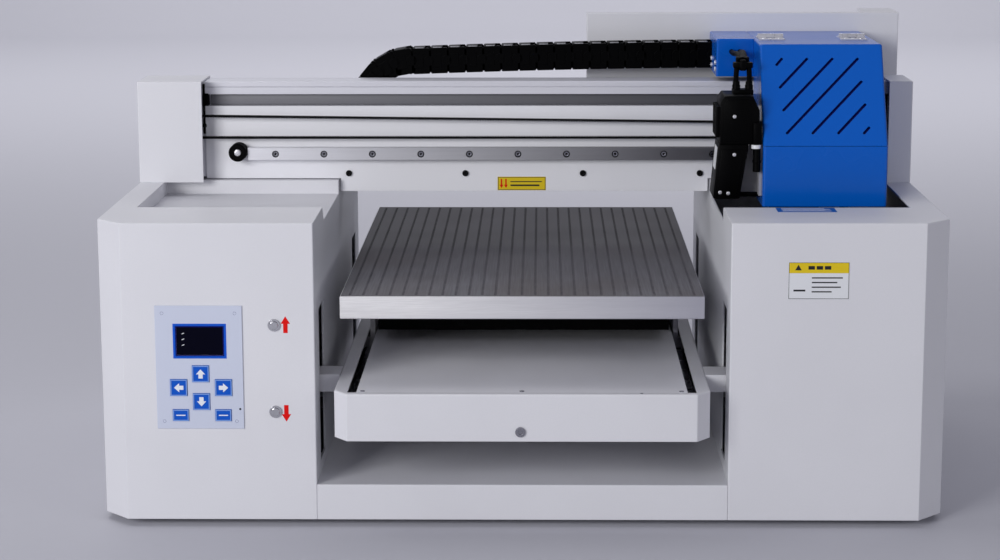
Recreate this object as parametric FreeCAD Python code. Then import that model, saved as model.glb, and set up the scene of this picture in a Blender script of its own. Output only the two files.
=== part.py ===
# Flatbed UV printer: a wide casing with two towers, a fixed gantry beam with a print carriage,
# and a vacuum bed that slides on a tray, which a screw lift raises and lowers.
#
# Everything is modelled in the casing's own layout, in millimetres: X to the right, Y back from
# the casing's front face, Z up from the casing's bottom edge. save() then moves each node into
# the part's frame, whose origin is the middle of the bounding box's bottom.
import FreeCAD, Part
import math
import os

V = FreeCAD.Vector
os.makedirs("parts", exist_ok=True)

# ---- driving dimensions ----
HALF_WIDTH = 474.5          # casing, side to side
BAY_HALF = 230.5            # print bay between the inner walls
TOWER_TOP = 338.0
CASE_BACK = 640.0
SILL_TOP = 40.5
CORNER_X = 29.5             # vertical corner chamfer of the casing
CORNER_Y = 31.4
SHEET = 2.0
EDGE_RADIUS = 1.5           # outer bend radius of the casing's sheet metal
FOOT_HEIGHT = 8.0
FOOT_RADIUS = 20.0

FACE_PLATE = 2.0
BEAM_FRONT = 345.0          # front of the plate on the beam's face
BEAM_BACK = 390.0
BEAM_BOTTOM = 341.0
BEAM_TOP = 461.5
LEFT_BOX_INNER = -395.5
RIGHT_BOX_INNER = 446.0
END_BOX_FRONT = 315.0
RAIL_Z = 371.3
RAIL_SIZE = 15.0
RAIL_LEFT = -342.0
RAIL_RIGHT = 392.0
RAIL_PITCH = 60.0

BELT_BOTTOM = 392.0         # inner face of the lower strand
BELT_WIDTH = 9.0
BELT_THICK = 1.5
IDLER_RADIUS = 13.0
DRIVE_RADIUS = 7.8
PULLEY_X = 432.0
BELT_Y = 331.0

HEAD_LEFT = 280.0
HEAD_RIGHT = 425.0
HEAD_FRONT = 172.0
HEAD_BOTTOM = 330.0
HEAD_CREASE = 401.2
HEAD_TOP = 514.0
HEAD_TOP_FRONT = 242.0
HEAD_BACK = 440.0
HEAD_OVER_BEAM = 468.0
COVER_SHEET = 1.5
LID_SPLIT = 318.0           # seam between lid and fixed cover, under the hinge pins

CHAIN_HEIGHT = 35.2
CHAIN_TOP = 505.2
CHAIN_OUTER = 82.1
CHAIN_FRONT = 396.0
CHAIN_BACK = 436.0
CHAIN_BEND_X = -142.6
CHAIN_FIXED_X = 60.0
CHAIN_MOVING_X = 235.0

BED_HALF = 202.0
BED_LENGTH = 648.0
BED_TOP = 256.0
BED_THICK = 25.4
TRAY_HALF = 208.0
TRAY_FRONT = -40.0
TRAY_BACK = 636.0
TRAY_BOTTOM = 101.0
TRAY_TOP = 154.3
SLOT_INNER = 182.5
SLOT_OUTER = 192.5
RUNNER_X = (SLOT_INNER + SLOT_OUTER) / 2
SCREW_HEAD = 2.0            # how far the tray's front screw stands out

LIFT_Y = 315.0
LIFT_X = 272.0
LIFT_SCREW_RADIUS = 8.0
RUNNING_FIT = 0.05
EAR_BOTTOM = 134.5
EAR_TOP = 154.5
FRONT_EAR = (56.0, 100.0)
REAR_EAR = (532.0, 576.0)
EAR_SLOT_BOTTOM = 55.0
EAR_SLOT_TOP = 232.0

# bounding box middle: tray screw head at the front, bed at the back
MIDDLE_Y = (TRAY_FRONT - SCREW_HEAD + BED_LENGTH) / 2
TO_PART_FRAME = V(0, -MIDDLE_Y, FOOT_HEIGHT)


# ---- helpers ----
def save(name, shape):
    shape = shape.copy()
    shape.translate(TO_PART_FRAME)
    shape.exportStep("parts/" + name + ".step")


def group(solids):
    return Part.makeCompound(list(solids))


def block(x0, x1, y0, y1, z0, z1):
    return Part.makeBox(x1 - x0, y1 - y0, z1 - z0, V(x0, y0, z0))


def rod(x, y, z, radius, length, axis="z"):
    direction = {"x": V(1, 0, 0), "y": V(0, 1, 0), "z": V(0, 0, 1)}[axis]
    return Part.makeCylinder(radius, length, V(x, y, z), direction)


def prism(points, plane, start, end):
    """Extrude an outline: plane 'xy' along Z, 'xz' along Y, 'yz' along X."""
    lift = {"xy": lambda a, b: V(a, b, start), "xz": lambda a, b: V(a, start, b),
            "yz": lambda a, b: V(start, a, b)}[plane]
    along = {"xy": V(0, 0, end - start), "xz": V(0, end - start, 0), "yz": V(end - start, 0, 0)}[plane]
    corners = [lift(a, b) for a, b in points]
    face = Part.Face(Part.makePolygon(corners + corners[:1]))
    return face.extrude(along)


def fuse(first, *others):
    return first.fuse(list(others)).removeSplitter()


def cut(body, *tools):
    return body.cut(list(tools))


def mirrored(shape):
    return shape.mirror(V(0, 0, 0), V(1, 0, 0))


def round_edges(shape, radius, wanted):
    edges = [edge for edge in shape.Edges if wanted(edge)]
    return shape.makeFillet(radius, edges)


def button_head(x, y, z, radius, height, axis, socket=0.45):
    """Screw head with a round drive recess; the head grows from y or z along the axis' minus side."""
    sign = {"y": V(0, -1, 0), "z": V(0, 0, 1)}[axis]
    head = Part.makeCylinder(radius, height, V(x, y, z), sign)
    recess = Part.makeCylinder(radius * socket, height * 0.6, V(x, y, z) + sign * (height * 0.4), sign)
    return cut(head, recess)


# ---- casing ----
def tower_outline(inset):
    """Plan of the left tower, its wall faces moved in by the inset."""
    corner = inset * 0.45
    return [(-BAY_HALF, inset),
            (-HALF_WIDTH + CORNER_X + corner, inset),
            (-HALF_WIDTH + inset, CORNER_Y + corner),
            (-HALF_WIDTH + inset, CASE_BACK),
            (-BAY_HALF, CASE_BACK)]


def rounded_on_tower(edge):
    """Upright bends and the top's outer rim, but not the side that the inner wall closes."""
    box = edge.BoundBox
    upright = box.ZLength > 1 and box.YMax < CASE_BACK - 1
    top_rim = box.ZMin > TOWER_TOP - 1 and box.XMin < -BAY_HALF - 1 and box.YMin < CASE_BACK - 1
    return upright or top_rim


def tower_shell(pocket, pocket_lining):
    whole = round_edges(prism(tower_outline(0), "xy", 0, TOWER_TOP), EDGE_RADIUS, rounded_on_tower)
    outside = cut(whole, pocket)
    inside = cut(prism(tower_outline(SHEET), "xy", -1, TOWER_TOP - SHEET), pocket_lining)
    return cut(outside, inside)


PARK_LEFT = -444.0          # left tower's shallow well, which the carriage passes over
PARK_FRONT = 115.0
PARK_BACK = 335.0
PARK_DEPTH = 17.0
park_floor = TOWER_TOP - PARK_DEPTH


def park_well(grow):
    outline = [(PARK_FRONT - grow, TOWER_TOP + 1),
               (PARK_FRONT + PARK_DEPTH - grow, park_floor - grow),
               (PARK_BACK + grow, park_floor - grow),
               (PARK_BACK + grow, TOWER_TOP + 1)]
    return prism(outline, "yz", PARK_LEFT - grow, -BAY_HALF + 5)


# control panel and lift buttons on the left tower
PANEL = (-408.0, -311.0, 105.5, 245.5)
PANEL_THICK = 1.5
DISPLAY = (-388.5, -328.5, 185.5, 225.5)
DISPLAY_BORDER = 4.0
BUTTON_X = -275.5
BUTTON_Z = {"up": 223.6, "down": 124.9}
BEZEL_RADIUS = 6.9
BUTTON_RADIUS = 4.7
PANEL_MARGIN = 6.0
panel_hole = block(PANEL[0] + PANEL_MARGIN, PANEL[1] - PANEL_MARGIN, -1, SHEET + 1,
                   PANEL[2] + PANEL_MARGIN, PANEL[3] - PANEL_MARGIN)
BARREL_RADIUS = 5.9
button_holes = [rod(BUTTON_X, -1, z, BARREL_RADIUS, SHEET + 2, "y") for z in BUTTON_Z.values()]
left_tower = cut(tower_shell(park_well(0), park_well(SHEET)), panel_hole, *button_holes)
save("left_tower_cover", left_tower)

CAP_FRONT = 113.5           # right tower's deep well over the capping station
CAP_BACK = 325.0
CAP_RIGHT = 444.0
cap_well = block(-CAP_RIGHT, -BAY_HALF + 1, CAP_FRONT, CAP_BACK, TOWER_TOP - 30, TOWER_TOP + 1)
save("right_tower_cover", mirrored(tower_shell(cap_well, cap_well)))

# folded sheet: the sill between the towers turns back into the bay's floor
sill_and_floor = fuse(block(-BAY_HALF, BAY_HALF, 0, SHEET, 0, SILL_TOP),
                      block(-BAY_HALF, BAY_HALF, 0, CASE_BACK, SILL_TOP - SHEET, SILL_TOP))
save("bay_floor", round_edges(sill_and_floor, 1.6,
                              lambda e: e.BoundBox.ZMin > SILL_TOP - 0.5 and e.BoundBox.YMax < 0.5))


# inner walls, with two upright slots each for the lift's ears
def ear_slot(ear):
    return block(-BAY_HALF - 5, -BAY_HALF + 5, ear[0] - 6, ear[1] + 6, EAR_SLOT_BOTTOM, EAR_SLOT_TOP)


def inner_wall(*openings):
    wall = block(-BAY_HALF - SHEET, -BAY_HALF, SHEET, CASE_BACK, SHEET, TOWER_TOP - SHEET)
    return cut(wall, ear_slot(FRONT_EAR), ear_slot(REAR_EAR), *openings)


CAP_WALL_BOTTOM = 266.0
CAP_NOTCH_BOTTOM = 321.0    # the right inner wall's upper edge where the print head passes
cap_wall_gap = block(-BAY_HALF - 5, -BAY_HALF + 5, CAP_FRONT + 9, CAP_BACK - 12, CAP_NOTCH_BOTTOM, TOWER_TOP)
save("left_inner_wall", inner_wall(park_well(SHEET)))
save("right_inner_wall", mirrored(inner_wall(cap_wall_gap)))


# folded sheet pan: the bottom, and the two towers' rear panels standing up from it
rear_panel = block(-HALF_WIDTH + SHEET, -BAY_HALF - SHEET, CASE_BACK - SHEET, CASE_BACK, 0, TOWER_TOP - SHEET)
INLET = (-360.0, -312.0, 60.0, 88.0)
inlet_hole = block(INLET[0], INLET[1], CASE_BACK - 5, CASE_BACK + 5, INLET[2], INLET[3])
floor_outline = [(-HALF_WIDTH + CORNER_X + 3, SHEET), (HALF_WIDTH - CORNER_X - 3, SHEET),
                 (HALF_WIDTH - SHEET, CORNER_Y + 3), (HALF_WIDTH - SHEET, CASE_BACK),
                 (-HALF_WIDTH + SHEET, CASE_BACK), (-HALF_WIDTH + SHEET, CORNER_Y + 3)]
floor_sheet = prism(floor_outline, "xy", 0, SHEET)
save("base_pan", cut(fuse(floor_sheet, rear_panel, mirrored(rear_panel)), inlet_hole))
FOOT_IN_X = 60.0
FOOT_IN_Y = 70.0
foot_spots = [(sx * (HALF_WIDTH - FOOT_IN_X), y) for sx in (-1, 1) for y in (FOOT_IN_Y, CASE_BACK - FOOT_IN_Y)]
save("feet", group(Part.makeCone(FOOT_RADIUS - 2, FOOT_RADIUS, FOOT_HEIGHT, V(x, y, -FOOT_HEIGHT))
                   for x, y in foot_spots))


# ---- gantry ----
def end_box(outside, inside):
    """Sheet box over a beam end: closed but for its inner side and its bottom."""
    back, top = BEAM_BACK + 5, BEAM_TOP + 1
    left, right = sorted((outside, inside))
    whole = block(left, right, END_BOX_FRONT, back, TOWER_TOP, top)
    whole = round_edges(whole, EDGE_RADIUS, lambda e: e.BoundBox.ZMax > TOWER_TOP + 1
                        and not (e.BoundBox.XMin > inside - 1 and e.BoundBox.XMax < inside + 1))
    wall = math.copysign(SHEET, inside - outside)
    left, right = sorted((outside + wall, inside + wall))
    return cut(whole, block(left, right, END_BOX_FRONT + SHEET, back - SHEET, TOWER_TOP - 1, top - SHEET))


save("left_end_box", end_box(-HALF_WIDTH, LEFT_BOX_INNER))
save("right_end_box", end_box(HALF_WIDTH, RIGHT_BOX_INNER))

FLANGE_BEVEL = 1.2
SKIN_GAP = 1.5
BEAM_HALF = 455.0
RECESS_BOTTOM = 429.5       # shadow recess along the beam's front, under its top flange
RECESS_TOP = 444.0
RECESS_DEPTH = 12.0
BEAM_WALL = 4.0
drive_axis = V(PULLEY_X, 0, BELT_BOTTOM + DRIVE_RADIUS)
idler_axis = V(-PULLEY_X, 0, BELT_BOTTOM + IDLER_RADIUS)
SHAFT_RADIUS = 3.0
FLANGE_LINE = 452.9         # fine groove along the top flange
core_front = BEAM_FRONT + FACE_PLATE
beam_outline = [(core_front, BEAM_BOTTOM), (core_front, RECESS_BOTTOM),
                (BEAM_FRONT + RECESS_DEPTH, RECESS_BOTTOM), (BEAM_FRONT + RECESS_DEPTH, RECESS_TOP),
                (BEAM_FRONT, RECESS_TOP), (BEAM_FRONT, FLANGE_LINE - 0.6),
                (BEAM_FRONT + FLANGE_BEVEL, FLANGE_LINE - 0.6), (BEAM_FRONT + FLANGE_BEVEL, FLANGE_LINE + 0.6),
                (BEAM_FRONT, FLANGE_LINE + 0.6), (BEAM_FRONT, BEAM_TOP - SKIN_GAP - FLANGE_BEVEL),
                (BEAM_FRONT + FLANGE_BEVEL, BEAM_TOP - SKIN_GAP),
                (BEAM_BACK, BEAM_TOP - SKIN_GAP), (BEAM_BACK, BEAM_BOTTOM)]
beam = prism(beam_outline, "yz", -BEAM_HALF, BEAM_HALF)
beam_hollow = block(-BEAM_HALF + 12, BEAM_HALF - 12, BEAM_FRONT + RECESS_DEPTH + BEAM_WALL, BEAM_BACK - BEAM_WALL,
                    BEAM_BOTTOM + BEAM_WALL, BEAM_TOP - SKIN_GAP - BEAM_WALL)
beam_feet = [block(sx * 425 - 20, sx * 425 + 20, core_front, BEAM_BACK, TOWER_TOP, BEAM_BOTTOM) for sx in (-1, 1)]
shaft_holes = [rod(axis.x, BEAM_FRONT - 1, axis.z, SHAFT_RADIUS + RUNNING_FIT, BEAM_BACK - BEAM_FRONT + 2, "y")
               for axis in (drive_axis, idler_axis)]
save("beam", cut(fuse(beam, *beam_feet), beam_hollow, *shaft_holes))

# plate over the beam's face, which reaches down as a skirt between the inner walls
SKIRT_BOTTOM = 323.0
SKIRT_HALF = 228.0
face_bottom = BEAM_BOTTOM - 2
face_outline = [(LEFT_BOX_INNER, face_bottom), (LEFT_BOX_INNER, RECESS_BOTTOM),
                (RIGHT_BOX_INNER, RECESS_BOTTOM), (RIGHT_BOX_INNER, face_bottom),
                (SKIRT_HALF, face_bottom), (SKIRT_HALF, SKIRT_BOTTOM),
                (-SKIRT_HALF, SKIRT_BOTTOM), (-SKIRT_HALF, face_bottom)]
save("beam_face_plate", cut(prism(face_outline, "xz", BEAM_FRONT, core_front), *shaft_holes))
FACE_SCREW_Z = 345.5
save("beam_screws", group(button_head(x, BEAM_FRONT, FACE_SCREW_Z, 3.8, 2.2, "y") for x in (-218, -73, 73, 218)))

rail_front = BEAM_FRONT - RAIL_SIZE
rail = block(RAIL_LEFT, RAIL_RIGHT, rail_front, BEAM_FRONT, RAIL_Z - RAIL_SIZE / 2, RAIL_Z + RAIL_SIZE / 2)
groove = block(RAIL_LEFT - 1, RAIL_RIGHT + 1, rail_front + 4, rail_front + 8, RAIL_Z + 5.5, RAIL_Z + 8)
lower_groove = groove.mirror(V(0, 0, RAIL_Z), V(0, 0, 1))
rail_holes = [RAIL_LEFT + 34.5 + RAIL_PITCH * i for i in range(12)]
COUNTERBORE_RADIUS = 4.2
RAIL_SCREW_RADIUS = 3.1
SCREW_SUNK = 1.0            # the rail screws' heads sit below the rail's face
counterbores = [rod(x, rail_front - 1, RAIL_Z, COUNTERBORE_RADIUS, 5.3, "y") for x in rail_holes]
save("carriage_rail", cut(rail, groove, lower_groove, *counterbores))
save("rail_screws", group(button_head(x, rail_front + 4.3, RAIL_Z, RAIL_SCREW_RADIUS, 4.3 - SCREW_SUNK, "y")
                          for x in rail_holes))

BUMPER_X = -354.0
BUMPER_Z = 373.5
BUMPER_RADIUS = 11.0
BUMPER_LENGTH = 22.0
bumper_front = BEAM_FRONT - BUMPER_LENGTH
bumper = cut(rod(BUMPER_X, bumper_front, BUMPER_Z, BUMPER_RADIUS, BUMPER_LENGTH, "y"),
             rod(BUMPER_X, bumper_front - 1, BUMPER_Z, 5, 5, "y"))
save("bumper", round_edges(bumper, 2, lambda e: e.BoundBox.YMax < bumper_front + 1 and e.Length > 40))


def belt_outline(grow):
    """Loop round both pulleys: two arcs joined by their outer tangent lines."""
    r0 = IDLER_RADIUS + grow
    r1 = DRIVE_RADIUS + grow
    span = drive_axis.x - idler_axis.x
    drop = idler_axis.z - drive_axis.z
    upper = -math.atan2(drop, span) + math.asin((r0 - r1) / math.hypot(span, drop)) * -1

    def on(axis, radius, angle):
        return V(axis.x + radius * math.cos(angle), BELT_Y, axis.z + radius * math.sin(angle))

    top = math.pi / 2 + upper
    a0, a1 = on(idler_axis, r0, top), on(drive_axis, r1, top)
    b0, b1 = on(idler_axis, r0, -math.pi / 2), on(drive_axis, r1, -math.pi / 2)
    edges = [Part.LineSegment(a0, a1), Part.Arc(a1, on(drive_axis, r1, upper / 2), b1),
             Part.LineSegment(b1, b0), Part.Arc(b0, on(idler_axis, r0, math.pi + upper / 2), a0)]
    return Part.Face(Part.Wire([edge.toShape() for edge in edges]))


PULLEY_GAP = 0.3
belt = belt_outline(BELT_THICK + PULLEY_GAP).cut(belt_outline(PULLEY_GAP)).extrude(V(0, BELT_WIDTH, 0))
save("drive_belt", belt)


def pulley(axis, radius):
    """Pulley with two flanges and a shaft that runs back through the beam."""
    front = BELT_Y - 0.5
    width = BELT_WIDTH + 1
    flange = radius + BELT_THICK + 1
    return fuse(rod(axis.x, front, axis.z, radius, width, "y"),
                rod(axis.x, front - 1.2, axis.z, flange, 1.2, "y"),
                rod(axis.x, front + width, axis.z, flange, 1.2, "y"),
                rod(axis.x, front - 4, axis.z, SHAFT_RADIUS, BEAM_BACK - front + 3, "y"))


save("drive_pulley", pulley(drive_axis, DRIVE_RADIUS))
save("idler_pulley", pulley(idler_axis, IDLER_RADIUS))
MOTOR_SIZE = 42.0
motor_half = MOTOR_SIZE / 2
motor = block(drive_axis.x - motor_half, drive_axis.x + motor_half, BEAM_BACK + 6, BEAM_BACK + 44,
              drive_axis.z - motor_half, drive_axis.z + motor_half)
boss = rod(drive_axis.x, BEAM_BACK, drive_axis.z, 11, 6, "y")
motor_bore = rod(drive_axis.x, BEAM_BACK - 1, drive_axis.z, SHAFT_RADIUS + RUNNING_FIT, 12, "y")
carriage_motor = cut(fuse(motor, boss), motor_bore)

# ---- carriage ----
plate_left = HEAD_LEFT + 8
plate_right = RAIL_RIGHT
PLATE_FRONT = 312.5
PLATE_THICK = 5.0
upright = block(plate_left, plate_right, PLATE_FRONT, PLATE_FRONT + PLATE_THICK, 345, 467.5)
shelf = block(plate_left, plate_right, PLATE_FRONT, HEAD_BACK - 4, 464.5, 467.5)
bracket_arm = block(HEAD_LEFT - 42, plate_right, BEAM_BACK + 10, HEAD_BACK - 4, 464.5, 467.5)
clamp_x = (plate_left + plate_right) / 2
clamp_arm = block(clamp_x - 5, clamp_x + 5, PLATE_FRONT + PLATE_THICK, BELT_Y - 0.5, 386, 398)
save("carriage_plate", fuse(upright, shelf, bracket_arm, clamp_arm))

BLOCK_GAP = 0.3
rail_tunnel = block(0, 800, rail_front - BLOCK_GAP, BEAM_FRONT + 5, RAIL_Z - RAIL_SIZE / 2 - BLOCK_GAP,
                    RAIL_Z + RAIL_SIZE / 2 + BLOCK_GAP)
BLOCK_LENGTH = 46.0
slide_blocks = [cut(block(x, x + BLOCK_LENGTH, PLATE_FRONT + PLATE_THICK, BEAM_FRONT - 4, RAIL_Z - 16, RAIL_Z + 16),
                    rail_tunnel) for x in (plate_left, plate_right - BLOCK_LENGTH)]
save("carriage_blocks", group(slide_blocks))

head_body = block(296, 356, 196, 300, 345, 400)
nozzle_plate = block(304, 348, 206, 290, 325, 345)
head_stem = block(310, 342, 230, PLATE_FRONT, 400, 440)
save("print_head", fuse(head_body, nozzle_plate, head_stem))


def cover_outline(inset):
    slope = math.atan2(HEAD_TOP - HEAD_CREASE, HEAD_TOP_FRONT - HEAD_FRONT)
    crease_shift = inset * math.tan((math.pi / 2 - slope) / 2)
    top_shift = inset * math.tan(slope / 2)
    return [(HEAD_FRONT + inset, HEAD_BOTTOM - (1 if inset else 0)),
            (HEAD_FRONT + inset, HEAD_CREASE - crease_shift),
            (HEAD_TOP_FRONT + top_shift, HEAD_TOP - inset),
            (HEAD_BACK - inset, HEAD_TOP - inset),
            (HEAD_BACK - inset, HEAD_OVER_BEAM),
            (PLATE_FRONT - 1 - inset, HEAD_OVER_BEAM),
            (PLATE_FRONT - 1 - inset, HEAD_BOTTOM - (1 if inset else 0))]


def rounded_on_cover(edge):
    """The front's, slope's and top's outer edges, not the rim round the open underside."""
    box = edge.BoundBox
    front = box.YMax < HEAD_TOP_FRONT + 1 and box.ZMax > HEAD_BOTTOM + 1 and box.YLength + box.ZLength > 1
    top = box.ZMin > HEAD_TOP - 1
    crease = box.ZMin > HEAD_CREASE - 1 and box.ZMax < HEAD_CREASE + 1
    return front or top or crease


whole_cover = cut(round_edges(prism(cover_outline(0), "yz", HEAD_LEFT, HEAD_RIGHT), 3.2, rounded_on_cover),
                  prism(cover_outline(COVER_SHEET), "yz", HEAD_LEFT + COVER_SHEET, HEAD_RIGHT - COVER_SHEET),
                  block(HEAD_LEFT + COVER_SHEET, HEAD_RIGHT - COVER_SHEET, PLATE_FRONT - 5, HEAD_BACK - COVER_SHEET,
                        HEAD_OVER_BEAM - 1, HEAD_OVER_BEAM + COVER_SHEET + 1),
                  block(HEAD_LEFT + COVER_SHEET, HEAD_RIGHT - COVER_SHEET, PLATE_FRONT - 5, PLATE_FRONT,
                        HEAD_BOTTOM - 1, HEAD_OVER_BEAM + 1))

# the lid is the slanted front above the crease and the front of the top
LID_GAP = 0.4
lid_cutter_outline = [(HEAD_FRONT - 5, HEAD_CREASE), (HEAD_FRONT - 5, HEAD_TOP + 5),
                      (LID_SPLIT, HEAD_TOP + 5), (LID_SPLIT, HEAD_TOP - COVER_SHEET),
                      (HEAD_TOP_FRONT + 1.5, HEAD_TOP - COVER_SHEET),
                      (HEAD_FRONT + COVER_SHEET, HEAD_CREASE)]
lid_zone = prism(lid_cutter_outline, "yz", HEAD_LEFT - 1, HEAD_RIGHT + 1)
lid_skin = whole_cover.common(lid_zone)
gap_outline = [(y + (LID_GAP if y == LID_SPLIT else 0), z - (LID_GAP if y < LID_SPLIT and z < HEAD_TOP else 0))
               for y, z in lid_cutter_outline]
fixed_zone = prism(gap_outline, "yz", HEAD_LEFT - 1, HEAD_RIGHT + 1)
head_cover = cut(whole_cover, fixed_zone)


def cover_slots():
    """Seven parallel round-ended vents across the slanted face, in its own plane."""
    first = V(28.3, 16.8, 0)        # longest vent's ends, right of the lid's edge and up from its crease
    last = V(114.8, 113.3, 0)
    radius = 1.6
    spans = [(first, last)]
    for step in (1, 2, 3):
        spans.append((first + V(-3.05, 29.6, 0) * step, last + V(-29.8, 0, 0) * step))
        spans.append((first + V(29.9, 0, 0) * step, last + V(3.05, -29.85, 0) * step))
    tools = []
    for start, end in spans:
        along = end - start
        bar = Part.makeBox(along.Length, 2 * radius, 20, V(0, -radius, -10))
        ends = [Part.makeCylinder(radius, 20, V(x, 0, -10)) for x in (0, along.Length)]
        vent = bar.fuse(ends)
        vent.rotate(V(0, 0, 0), V(0, 0, 1), math.degrees(math.atan2(along.y, along.x)))
        vent.translate(start)
        tools.append(vent)
    field = Part.makeCompound(tools)
    slope = math.atan2(HEAD_TOP - HEAD_CREASE, HEAD_TOP_FRONT - HEAD_FRONT)
    field.rotate(V(0, 0, 0), V(1, 0, 0), math.degrees(slope))
    field.translate(V(HEAD_LEFT, HEAD_FRONT, HEAD_CREASE))
    return field


save("head_lid", cut(lid_skin, cover_slots()))
save("head_cover", head_cover)

# two leaf hinges across the lid seam
HINGE_WIDTH = 31.0
HINGE_LEAF = 24.0
HINGE_THICK = 1.6
KNUCKLE_RADIUS = 3.2
PIN_RADIUS = 1.3
hinge_z = HEAD_TOP + KNUCKLE_RADIUS
KNUCKLE_GAP = 0.3
third = HINGE_WIDTH / 3
pin_y = LID_SPLIT + LID_GAP / 2


def fixed_hinge(x):
    """Back leaf with the middle knuckle, and the pin."""
    middle = x + third + KNUCKLE_GAP
    width = third - 2 * KNUCKLE_GAP
    pin = rod(x - 0.5, pin_y, hinge_z, PIN_RADIUS, HINGE_WIDTH + 1, "x")
    back_leaf = block(x, x + HINGE_WIDTH, pin_y + 4, pin_y + HINGE_LEAF, HEAD_TOP, HEAD_TOP + HINGE_THICK)
    neck = block(middle, middle + width, pin_y, pin_y + 5, HEAD_TOP, HEAD_TOP + HINGE_THICK)
    return fuse(rod(middle, pin_y, hinge_z, KNUCKLE_RADIUS, width, "x"), pin, back_leaf, neck)


def lid_hinge(x):
    outer = [x, x + 2 * third]
    front_leaf = block(x, x + HINGE_WIDTH, pin_y - HINGE_LEAF, pin_y - 4, HEAD_TOP, HEAD_TOP + HINGE_THICK)
    necks = [block(start, start + third, pin_y - 5, pin_y, HEAD_TOP, HEAD_TOP + HINGE_THICK) for start in outer]
    body = fuse(front_leaf, *necks, *[rod(start, pin_y, hinge_z, KNUCKLE_RADIUS, third, "x") for start in outer])
    clearance = rod(x - 1, pin_y, hinge_z, PIN_RADIUS + RUNNING_FIT, HINGE_WIDTH + 2, "x")
    return cut(body, clearance)


hinge_xs = (HEAD_LEFT + 4.3, HEAD_RIGHT - 41.8)
save("hinge_back_leaves", group(fixed_hinge(x) for x in hinge_xs))
save("hinge_lid_leaves", group(lid_hinge(x) for x in hinge_xs))

BRACKET_FRONT = 320.0
bracket_box = block(CHAIN_MOVING_X, HEAD_LEFT, BRACKET_FRONT, HEAD_BACK, HEAD_OVER_BEAM, HEAD_TOP)
bracket_box = round_edges(bracket_box, 2.2,
                          lambda e: e.BoundBox.XMin < HEAD_LEFT - 1 and e.BoundBox.ZMax > HEAD_OVER_BEAM + 1)
bracket = cut(bracket_box,
              block(CHAIN_MOVING_X + 1.5, HEAD_LEFT + 1, BRACKET_FRONT + 1.5, HEAD_BACK - 1.5,
                    HEAD_OVER_BEAM - 1, HEAD_TOP - 1.5),
              block(CHAIN_MOVING_X - 1, CHAIN_MOVING_X + 2, CHAIN_FRONT + 3, HEAD_BACK - 4,
                    HEAD_OVER_BEAM + 6, HEAD_TOP - 10))
save("chain_bracket", bracket)

# UV lamp on the carriage's left side
LAMP_Y0 = 180.0
LAMP_Y1 = 244.0
upper_lamp = block(231, 270, LAMP_Y0, LAMP_Y1, 402, 459)
lower_outline = [(223, 338), (254, 338), (264, 402), (229, 402)]
lower_lamp = prism(lower_outline, "xz", LAMP_Y0 + 2, LAMP_Y1 - 2)
lamp_connector = block(240, 262, 200, 224, 459, 466)
lamp = fuse(upper_lamp, lower_lamp, lamp_connector)
window_pocket = block(227, 250, LAMP_Y0 + 10, LAMP_Y1 - 10, 337, 340)
save("uv_lamp", cut(lamp, window_pocket))

lamp_plate_outline = [(256, 341), (277, 341), (277, 402), (268, 402)]
lamp_plate = prism(lamp_plate_outline, "xz", LAMP_Y1 - 30, LAMP_Y1 - 27)
lamp_side = block(276.5, HEAD_LEFT, LAMP_Y1 - 60, LAMP_Y1 - 10, 341, 402)
lamp_tab = block(270, 277, LAMP_Y1 - 30, LAMP_Y1 - 10, 402 - 12, 440)
save("lamp_bracket", fuse(cut(lamp_plate, lower_lamp), lamp_side, lamp_tab))


def tube(points, bend, radius):
    """Round tube along straight runs joined by tangent arcs."""
    points = [V(*p) for p in points]
    edges = []
    start = points[0]
    for before, corner, after in zip(points, points[1:], points[2:]):
        back = (before - corner).normalize()
        ahead = (after - corner).normalize()
        half = back.getAngle(ahead) / 2
        reach = bend / math.tan(half)
        first = corner + back * reach
        last = corner + ahead * reach
        middle = (back + ahead).normalize()
        centre = corner + middle * (bend / math.sin(half))
        edges.append(Part.LineSegment(start, first).toShape())
        edges.append(Part.Arc(first, centre - middle * bend, last).toShape())
        start = last
    edges.append(Part.LineSegment(start, points[-1]).toShape())
    path = Part.Wire(edges)
    ring = Part.Wire([Part.Circle(points[0], points[1] - points[0], radius).toShape()])
    return path.makePipeShell([ring], True, False)


HOSE_RADIUS = 3.2
hoses = [tube([(x, 212, 466), (x, 212, 489), (end, 250, 503), (end, BRACKET_FRONT - 2.5, 496)], 9, HOSE_RADIUS)
         for x, end in ((243.5, 246), (258.5, 256))]
save("lamp_hoses", group(hoses))


# ---- drag chain: upper strand, bend and lower strand ----
chain_centre = CHAIN_TOP - CHAIN_OUTER
chain_inner = CHAIN_OUTER - CHAIN_HEIGHT
save("chain_upper", block(CHAIN_BEND_X, CHAIN_MOVING_X, CHAIN_FRONT, CHAIN_BACK,
                          CHAIN_TOP - CHAIN_HEIGHT, CHAIN_TOP))
half_ring = cut(rod(CHAIN_BEND_X, CHAIN_FRONT, chain_centre, CHAIN_OUTER, CHAIN_BACK - CHAIN_FRONT, "y"),
                rod(CHAIN_BEND_X, CHAIN_FRONT - 1, chain_centre, chain_inner, CHAIN_BACK - CHAIN_FRONT + 2, "y"),
                block(CHAIN_BEND_X, CHAIN_BEND_X + 200, CHAIN_FRONT - 1, CHAIN_BACK + 1, 200, 700))
save("chain_bend", half_ring)
chain_bottom = chain_centre - CHAIN_OUTER
save("chain_lower", block(CHAIN_BEND_X, CHAIN_FIXED_X, CHAIN_FRONT, CHAIN_BACK,
                          chain_bottom, chain_bottom + CHAIN_HEIGHT))
SHELF_LEFT = -393.0
SHELF_RIGHT = 225.0
shelf_top = chain_bottom - 0.5
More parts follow.
